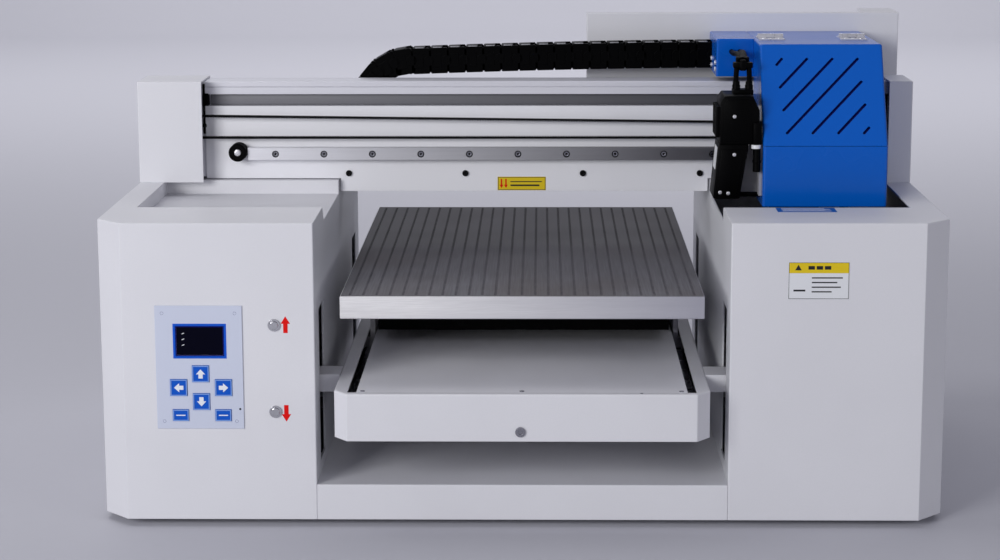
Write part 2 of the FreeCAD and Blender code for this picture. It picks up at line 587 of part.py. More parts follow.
chain_shelf = fuse(block(SHELF_LEFT, SHELF_RIGHT, BEAM_BACK, CHAIN_BACK + 2, shelf_top - 2, shelf_top),
                   block(SHELF_LEFT, SHELF_RIGHT, BEAM_BACK, BEAM_BACK + 2, shelf_top - 2, shelf_top + 30),
                   block(CHAIN_FIXED_X, CHAIN_FIXED_X + 14, CHAIN_FRONT, CHAIN_BACK,
                         shelf_top - 1, chain_bottom + CHAIN_HEIGHT))
save("chain_shelf", chain_shelf)

# ---- rear ----
CABINET_LEFT = 79.0
CABINET_RIGHT = 473.5
CABINET_FRONT = 442.0
CABINET_TOP = 537.0
COLUMN_LEFT = 432.0         # hollow column along the cabinet's right end
COLUMN_BACK = 520.0
RETURN = 10.0               # folded edge along the cabinet's top and left side
sheet_front = block(CABINET_LEFT, CABINET_RIGHT, CABINET_FRONT, CABINET_FRONT + SHEET, TOWER_TOP, CABINET_TOP)
left_return = block(CABINET_LEFT, CABINET_LEFT + SHEET, CABINET_FRONT, CABINET_FRONT + RETURN,
                    TOWER_TOP, CABINET_TOP)
top_return = block(CABINET_LEFT, COLUMN_LEFT + 1, CABINET_FRONT, CABINET_FRONT + RETURN,
                   CABINET_TOP - SHEET, CABINET_TOP)
column = cut(block(COLUMN_LEFT, CABINET_RIGHT, CABINET_FRONT, COLUMN_BACK, TOWER_TOP, CABINET_TOP),
             block(COLUMN_LEFT + SHEET, CABINET_RIGHT - SHEET, CABINET_FRONT + SHEET, COLUMN_BACK - SHEET,
                   TOWER_TOP + SHEET, CABINET_TOP - SHEET))
cabinet = fuse(sheet_front, left_return, top_return, column)
save("rear_cabinet", round_edges(cabinet, 1.2, lambda e: e.BoundBox.YMax < CABINET_FRONT + 0.1
                                 and (e.BoundBox.ZMin > CABINET_TOP - 0.1 or e.BoundBox.XMax < CABINET_LEFT + 0.1
                                      or e.BoundBox.XMin > CABINET_RIGHT - 0.1)))

# power supply with its mains socket, which looks out through the left tower's rear panel
supply = block(INLET[0] - 40, INLET[1] + 10, CASE_BACK - 200, CASE_BACK - 20, SHEET, 112)
inlet_body = block(INLET[0], INLET[1], CASE_BACK - 20, CASE_BACK + 3, INLET[2], INLET[3])
socket = block(INLET[0] + 4, INLET[1] - 20, CASE_BACK - 12, CASE_BACK + 5, INLET[2] + 5, INLET[3] - 5)
supply_hollow = block(INLET[0] - 38, INLET[1] + 8, CASE_BACK - 198, CASE_BACK - 22, SHEET + 2, 110)
save("power_supply", cut(fuse(cut(supply, supply_hollow), inlet_body), socket))

cap_base = block(BAY_HALF + SHEET, CAP_RIGHT, CAP_FRONT, CAP_BACK, CAP_WALL_BOTTOM - 8, CAP_WALL_BOTTOM - 3)
cap_tower = block(300, 352, 200, 296, CAP_WALL_BOTTOM - 3, 316)
cap_lip = cut(block(302, 350, 204, 292, 316, 324), block(306, 346, 208, 288, 318, 325))
wiper = block(384, 387, 215, 285, CAP_WALL_BOTTOM - 3, 322)
save("capping_station", fuse(cap_base, cap_tower, cap_lip, wiper))

# ---- lift: tray, ears through the inner walls, side beams with nuts ----
TRAY_CORNER_X = 15.0
TRAY_CORNER_Y = 20.0


def tray_outline(inset):
    corner = inset * 0.45
    half = TRAY_HALF - inset
    return [(-half + TRAY_CORNER_X - inset + corner, TRAY_FRONT + inset),
            (half - TRAY_CORNER_X + inset - corner, TRAY_FRONT + inset),
            (half, TRAY_FRONT + TRAY_CORNER_Y + corner),
            (half, TRAY_BACK - inset), (-half, TRAY_BACK - inset),
            (-half, TRAY_FRONT + TRAY_CORNER_Y + corner)]


def rounded_on_tray(edge):
    box = edge.BoundBox
    upright = box.ZLength > 1 and box.YMax < TRAY_BACK - 1
    return upright or (box.ZMin > TRAY_TOP - 1 and box.YMin < TRAY_BACK - 1)


FRONT_RIM = 9.0
tray_mouth = block(-SLOT_OUTER, SLOT_OUTER, TRAY_FRONT + FRONT_RIM, TRAY_BACK - SHEET, TRAY_TOP - 10, TRAY_TOP + 1)
tray = cut(round_edges(prism(tray_outline(0), "xy", TRAY_BOTTOM, TRAY_TOP), 2.2, rounded_on_tray),
           prism(tray_outline(SHEET), "xy", TRAY_BOTTOM + SHEET, TRAY_TOP - SHEET), tray_mouth)
save("tray_shell", tray)
save("tray_cover", block(-SLOT_INNER, SLOT_INNER, TRAY_FRONT + FRONT_RIM, TRAY_BACK - SHEET,
                         TRAY_TOP - SHEET, TRAY_TOP))
COVER_SCREW_Y = TRAY_FRONT + FRONT_RIM + 5
cover_screws = [button_head(x, COVER_SCREW_Y, TRAY_TOP, 2.6, 0.8, "z") for x in (-176, 0, 176)]
rim_screw = button_head(131.7, TRAY_FRONT + FRONT_RIM / 2, TRAY_TOP, 1.6, 0.5, "z")
front_screw = button_head(-1.7, TRAY_FRONT, 112.0, 5.6, SCREW_HEAD, "y")
save("tray_screws", group(cover_screws + [rim_screw, front_screw]))

side_beam_x = (-LIFT_X - 22, -LIFT_X + 22)
side_beam = block(side_beam_x[0], side_beam_x[1], FRONT_EAR[0], REAR_EAR[1], EAR_BOTTOM, EAR_TOP)
ears = [block(-LIFT_X, -TRAY_HALF, ear[0], ear[1], EAR_BOTTOM, EAR_TOP) for ear in (FRONT_EAR, REAR_EAR)]
nut = rod(-LIFT_X, LIFT_Y, EAR_BOTTOM - 14, 16, 40)
nut_bore = rod(-LIFT_X, LIFT_Y, EAR_BOTTOM - 40, LIFT_SCREW_RADIUS + RUNNING_FIT, 120)
left_arm = cut(fuse(side_beam, nut, *ears), nut_bore)
save("lift_arms", group([left_arm, mirrored(left_arm)]))

LIFT_MOTOR = 57.0
LIFT_MOTOR_TOP = 60.0
JOURNAL_RADIUS = 4.0
LIFT_SCREW_LENGTH = 180.0


def lift_screw(x):
    return fuse(rod(x, LIFT_Y, LIFT_MOTOR_TOP + 0.5, LIFT_SCREW_RADIUS, LIFT_SCREW_LENGTH),
                rod(x, LIFT_Y, LIFT_MOTOR_TOP - 15, JOURNAL_RADIUS, 20))


save("left_lift_screw", lift_screw(-LIFT_X))
save("right_lift_screw", lift_screw(LIFT_X))


def lift_motor(x):
    half = LIFT_MOTOR / 2
    body = block(x - half, x + half, LIFT_Y - half, LIFT_Y + half, SHEET, LIFT_MOTOR_TOP)
    return cut(body, rod(x, LIFT_Y, LIFT_MOTOR_TOP - 18, JOURNAL_RADIUS + RUNNING_FIT, 30))


save("drive_motors", group([lift_motor(-LIFT_X), lift_motor(LIFT_X), carriage_motor]))

tray_floor = TRAY_BOTTOM + SHEET
RUNNER_HEIGHT = 30.0
RUNNER_HALF = 7.5
runner_top = tray_floor + RUNNER_HEIGHT
save("bed_rails", group(block(x - RUNNER_HALF, x + RUNNER_HALF, TRAY_FRONT + 30, TRAY_BACK - 8,
                              tray_floor, runner_top) for x in (-RUNNER_X, RUNNER_X)))

# bed drive screw along the tray's middle, turned by a motor at the back
BED_SCREW_Z = 122.0
BED_SCREW_RADIUS = 7.0
BED_MOTOR_FRONT = 590.0
BED_SCREW_FRONT = TRAY_FRONT + 25
save("bed_screw", fuse(rod(0, BED_SCREW_FRONT, BED_SCREW_Z, BED_SCREW_RADIUS,
                           BED_MOTOR_FRONT - 0.5 - BED_SCREW_FRONT, "y"),
                       rod(0, BED_MOTOR_FRONT - 1, BED_SCREW_Z, JOURNAL_RADIUS, 14, "y")))
save("bed_motor", cut(block(-19, 19, BED_MOTOR_FRONT, BED_MOTOR_FRONT + 40, tray_floor, tray_floor + 38),
                      rod(0, BED_MOTOR_FRONT - 1, BED_SCREW_Z, JOURNAL_RADIUS + RUNNING_FIT, 16, "y")))

# ---- bed ----
BED_BOTTOM = BED_TOP - BED_THICK
bed = block(-BED_HALF, BED_HALF, 0, BED_LENGTH, BED_BOTTOM, BED_TOP)
save("vacuum_table", bed.makeChamfer(0.8, bed.Edges))
PLENUM_HALF = 176.0
PLENUM_FRONT = 240.0
PLENUM_BACK = 600.0
PLENUM_HEIGHT = 62.0
PLENUM_WALL = 3.0
plenum_bottom = BED_BOTTOM - PLENUM_HEIGHT
vacuum_box = cut(block(-PLENUM_HALF, PLENUM_HALF, PLENUM_FRONT, PLENUM_BACK, plenum_bottom, BED_BOTTOM),
                 block(-PLENUM_HALF + PLENUM_WALL, PLENUM_HALF - PLENUM_WALL, PLENUM_FRONT + PLENUM_WALL,
                       PLENUM_BACK - PLENUM_WALL, plenum_bottom + PLENUM_WALL, BED_BOTTOM + 1))
save("vacuum_box", vacuum_box)
SUPPORT_FRONT = 300.0
SUPPORT_BACK = 430.0
block_bottom = runner_top + 0.3
BLOCK_TOP = 147.0
LEG_HALF = 3.0
FLANGE_IN = 10.0


right_runner = block(RUNNER_X - 16, RUNNER_X + 12, SUPPORT_FRONT, SUPPORT_BACK, block_bottom, BLOCK_TOP)
right_leg = block(RUNNER_X - LEG_HALF, RUNNER_X + LEG_HALF, SUPPORT_FRONT, SUPPORT_BACK, BLOCK_TOP, BED_BOTTOM)
right_side = fuse(right_runner, right_leg)
yoke = block(-RUNNER_X, RUNNER_X, 340, 390, block_bottom, BLOCK_TOP)
bed_nut = rod(0, 345, BED_SCREW_Z, 15, 40, "y")
nut_hole = rod(0, 300, BED_SCREW_Z, BED_SCREW_RADIUS + RUNNING_FIT, 130, "y")
save("bed_supports", cut(fuse(yoke, bed_nut, right_side, mirrored(right_side)), nut_hole))

# ---- controls on the left tower ----
key_hole_gap = 0.2
ARROW_KEY = 19.0
ENTER_KEY = (18.0, 13.3)
keys = {"key_up": (-358.3, 168.3, ARROW_KEY, ARROW_KEY), "key_left": (-383.1, 152.5, ARROW_KEY, ARROW_KEY),
        "key_right": (-333.0, 152.5, ARROW_KEY, ARROW_KEY), "key_down": (-358.0, 136.5, ARROW_KEY, ARROW_KEY),
        "key_cancel": (-381.5, 120.9) + ENTER_KEY, "key_enter": (-333.8, 120.9) + ENTER_KEY}
KEY_PROUD = 0.8
KEY_BACK = 0.6


def key_block(x, z, width, height, grow, y0, y1):
    return block(x - width / 2 - grow, x + width / 2 + grow, y0, y1, z - height / 2 - grow, z + height / 2 + grow)


key_holes = [key_block(*spec, key_hole_gap, -5, 5) for spec in keys.values()]
window = block(DISPLAY[0] + DISPLAY_BORDER, DISPLAY[1] - DISPLAY_BORDER, -5, 5,
               DISPLAY[2] + DISPLAY_BORDER, DISPLAY[3] - DISPLAY_BORDER)
panel = block(PANEL[0], PANEL[1], -PANEL_THICK, 0, PANEL[2], PANEL[3])
save("control_panel", cut(panel, window, *key_holes))
save("display_glass", block(DISPLAY[0] + DISPLAY_BORDER, DISPLAY[1] - DISPLAY_BORDER, -PANEL_THICK + 0.4, 1.5,
                            DISPLAY[2] + DISPLAY_BORDER, DISPLAY[3] - DISPLAY_BORDER))
for name, spec in keys.items():
    save(name, key_block(*spec, 0, -PANEL_THICK - KEY_PROUD, KEY_BACK))


def bezel(z):
    ring = fuse(rod(BUTTON_X, -1.8, z, BEZEL_RADIUS, 1.8, "y"),
                rod(BUTTON_X, 0, z, BARREL_RADIUS, 14, "y"))
    return cut(ring, rod(BUTTON_X, -2, z, BUTTON_RADIUS + 0.08, 20, "y"))


save("button_bezels", group(bezel(z) for z in BUTTON_Z.values()))
for name, z in BUTTON_Z.items():
    push = rod(BUTTON_X, -3.4, z, BUTTON_RADIUS, 12, "y")
    save("lift_button_" + name, round_edges(push, 0.8, lambda e: e.BoundBox.YMax < -3.3))

print("part written")
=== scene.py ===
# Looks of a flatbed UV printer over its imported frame. Lengths are in metres, Z up.
import math

import bmesh
import bpy
from mathutils import Matrix, Vector


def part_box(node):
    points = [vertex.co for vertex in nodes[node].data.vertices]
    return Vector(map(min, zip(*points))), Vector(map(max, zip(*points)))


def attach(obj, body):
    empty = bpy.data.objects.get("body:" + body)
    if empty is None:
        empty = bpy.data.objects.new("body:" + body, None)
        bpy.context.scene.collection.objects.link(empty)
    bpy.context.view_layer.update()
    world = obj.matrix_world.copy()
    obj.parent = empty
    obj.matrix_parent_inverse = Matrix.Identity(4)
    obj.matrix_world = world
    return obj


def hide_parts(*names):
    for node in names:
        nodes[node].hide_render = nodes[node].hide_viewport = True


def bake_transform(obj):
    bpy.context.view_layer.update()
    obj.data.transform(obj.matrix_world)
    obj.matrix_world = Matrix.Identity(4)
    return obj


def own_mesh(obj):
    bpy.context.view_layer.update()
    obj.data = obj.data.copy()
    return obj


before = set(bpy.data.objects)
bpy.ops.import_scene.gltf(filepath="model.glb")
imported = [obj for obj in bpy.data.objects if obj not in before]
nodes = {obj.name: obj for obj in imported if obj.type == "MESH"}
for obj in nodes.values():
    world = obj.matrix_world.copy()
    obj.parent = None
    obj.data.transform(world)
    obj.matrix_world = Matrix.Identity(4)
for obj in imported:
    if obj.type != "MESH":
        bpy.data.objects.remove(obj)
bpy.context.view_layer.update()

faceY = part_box("left_tower_cover")[0][1]     # front face of the casing
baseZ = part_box("left_tower_cover")[0][2]     # bottom edge of the casing
print("frame loaded:", len(nodes), "nodes")


def spot(x, y, z):
    # millimetres from the casing's front bottom edge, as a point in the row frame
    return Vector((x / 1000, faceY + y / 1000, baseZ + z / 1000))


# finishes
def shade(red, green, blue):
    def linear(value):
        value /= 255
        return value / 12.92 if value <= 0.04045 else ((value + 0.055) / 1.055) ** 2.4
    return (linear(red), linear(green), linear(blue), 1)


def mixColours(tree, factor, first, second):
    node = tree.nodes.new("ShaderNodeMix")
    node.data_type = "RGBA"
    for socket, value in ((node.inputs[0], factor), (node.inputs[6], first), (node.inputs[7], second)):
        if isinstance(value, bpy.types.NodeSocket):
            tree.links.new(value, socket)
        else:
            socket.default_value = value
    return node.outputs[2]


def spread(tree, value, low, high, fromLow=0.3, fromHigh=0.7):
    node = tree.nodes.new("ShaderNodeMapRange")
    tree.links.new(value, node.inputs["Value"])
    for name, number in (("From Min", fromLow), ("From Max", fromHigh), ("To Min", low), ("To Max", high)):
        node.inputs[name].default_value = number
    return node.outputs["Result"]


def noise(tree, vector, scale, detail=3.0):
    node = tree.nodes.new("ShaderNodeTexNoise")
    node.inputs["Scale"].default_value = scale
    node.inputs["Detail"].default_value = detail
    tree.links.new(vector, node.inputs["Vector"])
    return node.outputs["Fac"]


def stretched(tree, vector, scale):
    node = tree.nodes.new("ShaderNodeMapping")
    node.inputs["Scale"].default_value = scale
    tree.links.new(vector, node.inputs["Vector"])
    return node.outputs["Vector"]


def placeAlong(tree):
    split = tree.nodes.new("ShaderNodeSeparateXYZ")
    tree.links.new(tree.nodes.new("ShaderNodeTexCoord").outputs["Object"], split.inputs[0])
    return split.outputs


plainFinish = {
    "dark": 0.93,            # how far the broad mottling darkens the colour
    "metallic": 0.0,
    "rough": (0.42, 0.56),
    "mottle": 7.0,
    "grain": 900.0,
    "grainDepth": 0.00003,
    "stretch": (1, 1, 1),    # below 1 along the way that a brushed finish runs
    "edge": 0.0009,          # how softly the edges turn
    "worn": None,            # colour of rubbed edges
    "wear": 0.35,
    "coat": 0.0,
    "coatRough": 0.1,
    "ior": 1.5,
}


def finish(name, base, **changes):
    look = {**plainFinish, **changes}
    material = bpy.data.materials.new(name)
    material.use_nodes = True
    tree = material.node_tree
    link = tree.links.new
    shader = tree.nodes["Principled BSDF"]
    place = tree.nodes.new("ShaderNodeTexCoord").outputs["Object"]
    run = stretched(tree, place, look["stretch"])
    broad = noise(tree, run, look["mottle"])
    fine = noise(tree, run, look["grain"], 2.0)
    darker = tuple(channel * look["dark"] for channel in base[:3]) + (1,)
    darkest = tuple(channel * look["dark"] ** 2 for channel in base[:3]) + (1,)
    colour = mixColours(tree, spread(tree, broad, 0, 1), darker, base)
    colour = mixColours(tree, spread(tree, fine, 0, 0.35), colour, darkest)

    soft = tree.nodes.new("ShaderNodeBevel")
    soft.samples = 4
    soft.inputs["Radius"].default_value = look["edge"]
    if look["worn"]:
        facing = tree.nodes.new("ShaderNodeVectorMath")
        facing.operation = "DOT_PRODUCT"
        link(soft.outputs["Normal"], facing.inputs[0])
        link(tree.nodes.new("ShaderNodeNewGeometry").outputs["Normal"], facing.inputs[1])
        edges = spread(tree, facing.outputs["Value"], look["wear"], 0.0, 0.86, 0.99)
        patchy = tree.nodes.new("ShaderNodeMath")
        patchy.operation = "MULTIPLY"
        link(edges, patchy.inputs[0])
        link(spread(tree, noise(tree, place, 160.0), 0, 1, 0.4, 0.62), patchy.inputs[1])
        colour = mixColours(tree, patchy.outputs[0], colour, look["worn"])
    link(colour, shader.inputs["Base Color"])

    bump = tree.nodes.new("ShaderNodeBump")
    bump.inputs["Distance"].default_value = look["grainDepth"]
    link(fine, bump.inputs["Height"])
    link(soft.outputs["Normal"], bump.inputs["Normal"])
    link(bump.outputs["Normal"], shader.inputs["Normal"])
    link(spread(tree, broad, *look["rough"]), shader.inputs["Roughness"])
    shader.inputs["Metallic"].default_value = look["metallic"]
    shader.inputs["Coat Weight"].default_value = look["coat"]
    shader.inputs["Coat Roughness"].default_value = look["coatRough"]
    shader.inputs["IOR"].default_value = look["ior"]
    return material


casingPaint = finish("casingPaint", shade(226, 226, 231), worn=shade(196, 197, 203), dark=0.96)
# painted light: a lighter copy of the casing paint, on the beam's face plate and the tray cover
casingPaintLit = finish("casingPaintLit", shade(243, 243, 248), worn=shade(214, 214, 220), dark=0.97)
# painted shade: a darker copy of the casing paint, on the inner walls
casingPaintShaded = finish("casingPaintShaded", shade(214, 215, 220), worn=shade(160, 160, 166), dark=0.94)
beamSatin = finish("beamSatin", shade(227, 227, 235), metallic=0.08, rough=(0.34, 0.46), stretch=(0.02, 1, 1),
                   mottle=60.0, grain=1400.0, grainDepth=0.000012, worn=shade(240, 240, 244), dark=0.95)
railSteel = finish("railSteel", shade(172, 172, 180), metallic=1.0, rough=(0.18, 0.32), stretch=(0.015, 1, 1),
                   mottle=90.0, grain=1800.0, grainDepth=0.00001, worn=shade(215, 215, 220), dark=0.85)
hingeSteel = finish("hingeSteel", shade(234, 234, 240), metallic=0.6, rough=(0.22, 0.36), mottle=70.0,
                    grainDepth=0.00001, worn=shade(235, 235, 238), dark=0.88, edge=0.0005)
chromeSteel = finish("chromeSteel", shade(214, 214, 218), metallic=1.0, rough=(0.12, 0.2), mottle=90.0,
                     grainDepth=0.000004, worn=shade(240, 240, 242), dark=0.9, edge=0.0005)
blackSteel = finish("blackSteel", shade(6, 6, 8), metallic=0.1, ior=1.25, rough=(0.34, 0.48), mottle=60.0,
                    worn=shade(92, 92, 96), dark=0.8, edge=0.0006)
bluePaint = finish("bluePaint", shade(0, 96, 202), rough=(0.24, 0.34), grain=520.0, grainDepth=0.00004,
                   worn=shade(4, 108, 206), dark=0.95, ior=1.24, coat=0.4, coatRough=0.12, edge=0.0012)
blackPlastic = finish("blackPlastic", shade(2, 2, 3), rough=(0.42, 0.56), grain=700.0, grainDepth=0.00005,
                      worn=shade(26, 26, 30), dark=0.8, ior=1.14)
chainPlastic = finish("chainPlastic", shade(1, 1, 2), rough=(0.34, 0.48), grain=600.0, grainDepth=0.00004,
                      worn=shade(24, 24, 28), wear=0.4, dark=0.75, edge=0.0006, ior=1.13)
rubber = finish("rubber", shade(3, 3, 4), ior=1.15, rough=(0.6, 0.75), grain=400.0, grainDepth=0.00006,
                worn=shade(56, 56, 58), dark=0.8, edge=0.0012)
beltRubber = finish("beltRubber", shade(2, 2, 3), ior=1.14, rough=(0.5, 0.62), grain=1200.0,
                    stretch=(0.2, 1, 1), worn=shade(50, 50, 54), dark=0.8, edge=0.0004)
panelFilm = finish("panelFilm", shade(206, 212, 230), rough=(0.3, 0.38), grain=1500.0, grainDepth=0.000012,
                   worn=shade(186, 190, 206), dark=0.97, edge=0.0004)
keyFilm = finish("keyFilm", shade(6, 88, 202), ior=1.3, rough=(0.28, 0.36), grain=1500.0, grainDepth=0.00001,
                 worn=shade(120, 176, 236), wear=0.8, dark=0.94, edge=0.0006)
motorMetal = finish("motorMetal", shade(120, 122, 126), metallic=0.7, rough=(0.36, 0.5), mottle=40.0,
                    worn=shade(190, 190, 194), dark=0.85)
platePaint = finish("platePaint", shade(172, 172, 179), rough=(0.4, 0.52), worn=shade(140, 140, 146))
displayGlass = finish("displayGlass", shade(1, 1, 20), rough=(0.14, 0.2), grainDepth=0.000002, ior=1.16,
                      dark=0.8, edge=0.0003)
inkLook = {"grain": 1500.0, "grainDepth": 0.00001, "edge": 0.0003}
inkBlue = finish("inkBlue", shade(4, 86, 208), ior=1.3, rough=(0.3, 0.38), **inkLook)
inkNavy = finish("inkNavy", shade(4, 12, 120), ior=1.3, rough=(0.3, 0.38), **inkLook)
inkWhite = finish("inkWhite", shade(240, 243, 250), rough=(0.34, 0.42), **inkLook)
inkRed = finish("inkRed", shade(232, 8, 4), ior=1.3, rough=(0.36, 0.44), **inkLook)
inkBlack = finish("inkBlack", shade(22, 22, 26), rough=(0.36, 0.44), **inkLook)
stickerLook = {"rough": (0.3, 0.4), "grain": 1300.0, "grainDepth": 0.00001, "edge": 0.0003}
stickerWhite = finish("stickerWhite", shade(236, 238, 242), **stickerLook)
stickerYellow = finish("stickerYellow", shade(236, 206, 20), **stickerLook)
stickerBlue = finish("stickerBlue", shade(26, 92, 176), **stickerLook)


def sidewaysFinish(name, left, right, span, **changes):
    # a finish that turns from one colour to another along X, as the photo's reflections do
    material = finish(name, left, **changes)
    tree = material.node_tree
    shader = tree.nodes["Principled BSDF"]
    patchy = shader.inputs["Base Color"].links[0].from_socket
    turned = mixColours(tree, spread(tree, placeAlong(tree)["X"], 0, 0.9, *span), patchy, right)
    tree.links.new(turned, shader.inputs["Base Color"])
    return material


# painted reflection: the rail's steel is bright at the left and dark at the right
carriageRailReflection = sidewaysFinish("carriageRailReflection", shade(248, 248, 254), shade(40, 38, 47), (-0.36, 0.19),
                              metallic=0.35, rough=(0.3, 0.42), stretch=(0.015, 1, 1), mottle=90.0,
                              grain=1800.0, grainDepth=0.00001, worn=shade(232, 232, 238), dark=0.9)
# painted shade: a grey sheet in the beam's recess, darker towards the right
recessPaintedShade = sidewaysFinish("recessPaintedShade", shade(124, 124, 130), shade(66, 66, 70), (-0.39, 0.3),
                              rough=(0.5, 0.6), stretch=(0.02, 1, 1), mottle=60.0, dark=0.92)


bedLook = {
    "rear": (-0.28, 0.12),   # painted shade: the top turns darker between these two places along Y
    "right": (-0.12, 0.2),   # painted reflection: the bright edges turn darker between these two along X
    "streaks": 700.0,
    "stains": 5.0,
    "shine": 0.07,
}


def bedFinish():
    # dark brushed top with painted shade towards the rear, bright brushed edges with a painted reflection that
    # fades to the right
    material = finish("bedPlate", shade(255, 254, 255), metallic=0.0, rough=(0.34, 0.46), stretch=(0.03, 0.03, 1),
                      mottle=70.0, grain=1500.0, grainDepth=0.00001, worn=shade(235, 235, 240), dark=0.8)
    tree = material.node_tree
    shader = tree.nodes["Principled BSDF"]
    place = tree.nodes.new("ShaderNodeTexCoord").outputs["Object"]
    facing = tree.nodes.new("ShaderNodeSeparateXYZ")
    tree.links.new(tree.nodes.new("ShaderNodeNewGeometry").outputs["Normal"], facing.inputs[0])
    upward = spread(tree, facing.outputs["Z"], 0, 1, 0.7, 0.9)
    streaks = noise(tree, stretched(tree, place, (1, 0.02, 1)), bedLook["streaks"])
    stains = noise(tree, place, bedLook["stains"], 4.0)
    along = placeAlong(tree)
    paintedRearShade = spread(tree, along["Y"], 0, 0.9, *bedLook["rear"])
    top = mixColours(tree, spread(tree, streaks, 0, 1), shade(90, 89, 94), shade(113, 112, 118))
    top = mixColours(tree, spread(tree, stains, 0, 0.5, 0.42, 0.66), top, shade(72, 60, 54))
    # painted shade: the top darkens towards the rear
    top = mixColours(tree, paintedRearShade, top, shade(14, 7, 12))
    # painted reflection: the edges are bright at the left and darker to the right
    edgeWithPaintedReflection = mixColours(tree, spread(tree, along["X"], 0, 0.85, *bedLook["right"]),
                            shader.inputs["Base Color"].links[0].from_socket, shade(158, 158, 172))
    tree.links.new(mixColours(tree, upward, edgeWithPaintedReflection, top), shader.inputs["Base Color"])
    tree.links.new(spread(tree, upward, 0.3, 0.0, 0, 1), shader.inputs["Metallic"])
    shader.inputs["Specular IOR Level"].default_value = bedLook["shine"]
    return material


bedPlate = bedFinish()


def holeFinish():
    # painted shade in the holes, dark towards the rear; at the front a painted reflection brings it close to the
    # plate's own grey
    material = finish("bedHoleShade", shade(12, 7, 12), rough=(0.6, 0.7), grainDepth=0.0, ior=1.1, edge=0.0)
    tree = material.node_tree
    shader = tree.nodes["Principled BSDF"]
    rear = shader.inputs["Base Color"].links[0].from_socket
    paintedHoleShade = mixColours(tree, spread(tree, placeAlong(tree)["Y"], 0, 1, -0.05, 0.04), shade(84, 82, 88), rear)
    tree.links.new(paintedHoleShade, shader.inputs["Base Color"])
    return material


bedHoleShade = holeFinish()

finishOfNodes = {
    casingPaint: ("left_tower_cover", "right_tower_cover", "bay_floor", "base_pan", "left_end_box",
                  "right_end_box", "rear_cabinet", "tray_shell", "lift_arms"),
    casingPaintLit: ("beam_face_plate", "tray_cover"),
    casingPaintShaded: ("left_inner_wall", "right_inner_wall"),
    beamSatin: ("beam", "chain_shelf"),
    carriageRailReflection: ("carriage_rail",),
    railSteel: ("carriage_blocks", "bed_rails", "left_lift_screw", "right_lift_screw", "bed_screw",
                "rail_screws", "tray_screws"),
    chromeSteel: ("button_bezels", "lift_button_up", "lift_button_down"),
    hingeSteel: ("hinge_back_leaves", "hinge_lid_leaves"),
    blackSteel: ("beam_screws", "carriage_plate"),
    bluePaint: ("head_cover", "head_lid", "chain_bracket"),
    blackPlastic: ("capping_station", "uv_lamp", "vacuum_box", "print_head"),
    chainPlastic: ("chain_upper", "chain_lower", "chain_bend"),
    bedPlate: ("vacuum_table", "bed_supports"),
    motorMetal: ("drive_motors", "bed_motor", "power_supply", "drive_pulley", "idler_pulley"),
    rubber: ("feet", "bumper"),
    beltRubber: ("drive_belt", "lamp_hoses"),
    panelFilm: ("control_panel",),
    keyFilm: ("key_up", "key_down", "key_left", "key_right", "key_cancel", "key_enter"),
    displayGlass: ("display_glass",),
    platePaint: ("lamp_bracket",),
}
for material, names in finishOfNodes.items():
    for name in names:
        mesh = nodes[name].data
        mesh.materials.clear()
        mesh.materials.append(material)
print("finishes on", sum(len(names) for names in finishOfNodes.values()), "nodes")


# shapes
def soften(bm, edges, offset, steps=2):
    bmesh.ops.bevel(bm, geom=edges, offset=offset, affect="EDGES", segments=steps, profile=0.5, material=-1)


def addBox(bm, low, high, soft=0.0, place=Matrix.Identity(4)):
    low, high = Vector(low), Vector(high)
    made = bmesh.ops.create_cube(bm, size=1,
                                 matrix=place @ Matrix.LocRotScale((low + high) / 2, None, high - low))
    if soft:
        soften(bm, list({edge for vert in made["verts"] for edge in vert.link_edges}), soft)


def addRod(bm, start, end, radius, sides=20, soft=0.0, endRadius=None):
    start, end = Vector(start), Vector(end)
    along = end - start
    turn = along.to_track_quat("Z", "Y").to_matrix().to_4x4()
    made = bmesh.ops.create_cone(bm, cap_ends=True, cap_tris=False, segments=sides, radius1=radius,
                                 radius2=endRadius or radius, depth=along.length,
                                 matrix=Matrix.Translation((start + end) / 2) @ turn)
    if soft:
        far = {vert for vert in made["verts"] if (vert.co - end).length < (vert.co - start).length}
        rim = [edge for edge in {e for v in far for e in v.link_edges} if all(v in far for v in edge.verts)]
        soften(bm, rim, soft, 3)


def addPlate(bm, outline, depth, soft=0.0):
    # a flat outline pushed along depth
    face = bm.faces.new([bm.verts.new(point) for point in outline])
    pushed = bmesh.ops.extrude_face_region(bm, geom=[face], use_keep_orig=True)
    moved = [item for item in pushed["geom"] if isinstance(item, bmesh.types.BMVert)]
    bmesh.ops.translate(bm, verts=moved, vec=depth)
    if soft:
        soften(bm, list({edge for vert in moved for edge in vert.link_edges} | set(face.edges)), soft)


def addRing(bm, centre, axis, radius, thick, sides):
    # a round bead whose section circle is spun about the axis
    centre, axis = Vector(centre), Vector(axis).normalized()
    out = axis.orthogonal().normalized()
    turn = Matrix((out, axis, out.cross(axis))).transposed().to_4x4()
    made = bmesh.ops.create_circle(bm, segments=6, radius=thick,
                                   matrix=Matrix.Translation(centre + out * radius) @ turn)
    edges = list({edge for vert in made["verts"] for edge in vert.link_edges})
    bmesh.ops.spin(bm, geom=edges, cent=centre, axis=axis, angle=math.tau, steps=sides, use_merge=True)


sharpAngle = math.radians(35)


def addObject(name, data):
    made = bpy.data.objects.new(name, data)
    bpy.context.scene.collection.objects.link(made)
    return made


def finishPiece(name, bm, material, body, replaced=()):
    bmesh.ops.recalc_face_normals(bm, faces=bm.faces)
    for face in bm.faces:
        face.smooth = True
    for edge in bm.edges:
        if len(edge.link_faces) == 2 and edge.calc_face_angle() > sharpAngle:
            edge.smooth = False
    mesh = bpy.data.meshes.new(name)
    bm.to_mesh(mesh)
    bm.free()
    piece = addObject(name, mesh)
    mesh.materials.append(material)
    if body:
        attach(piece, body)
    if replaced:
        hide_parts(*replaced)
    return piece


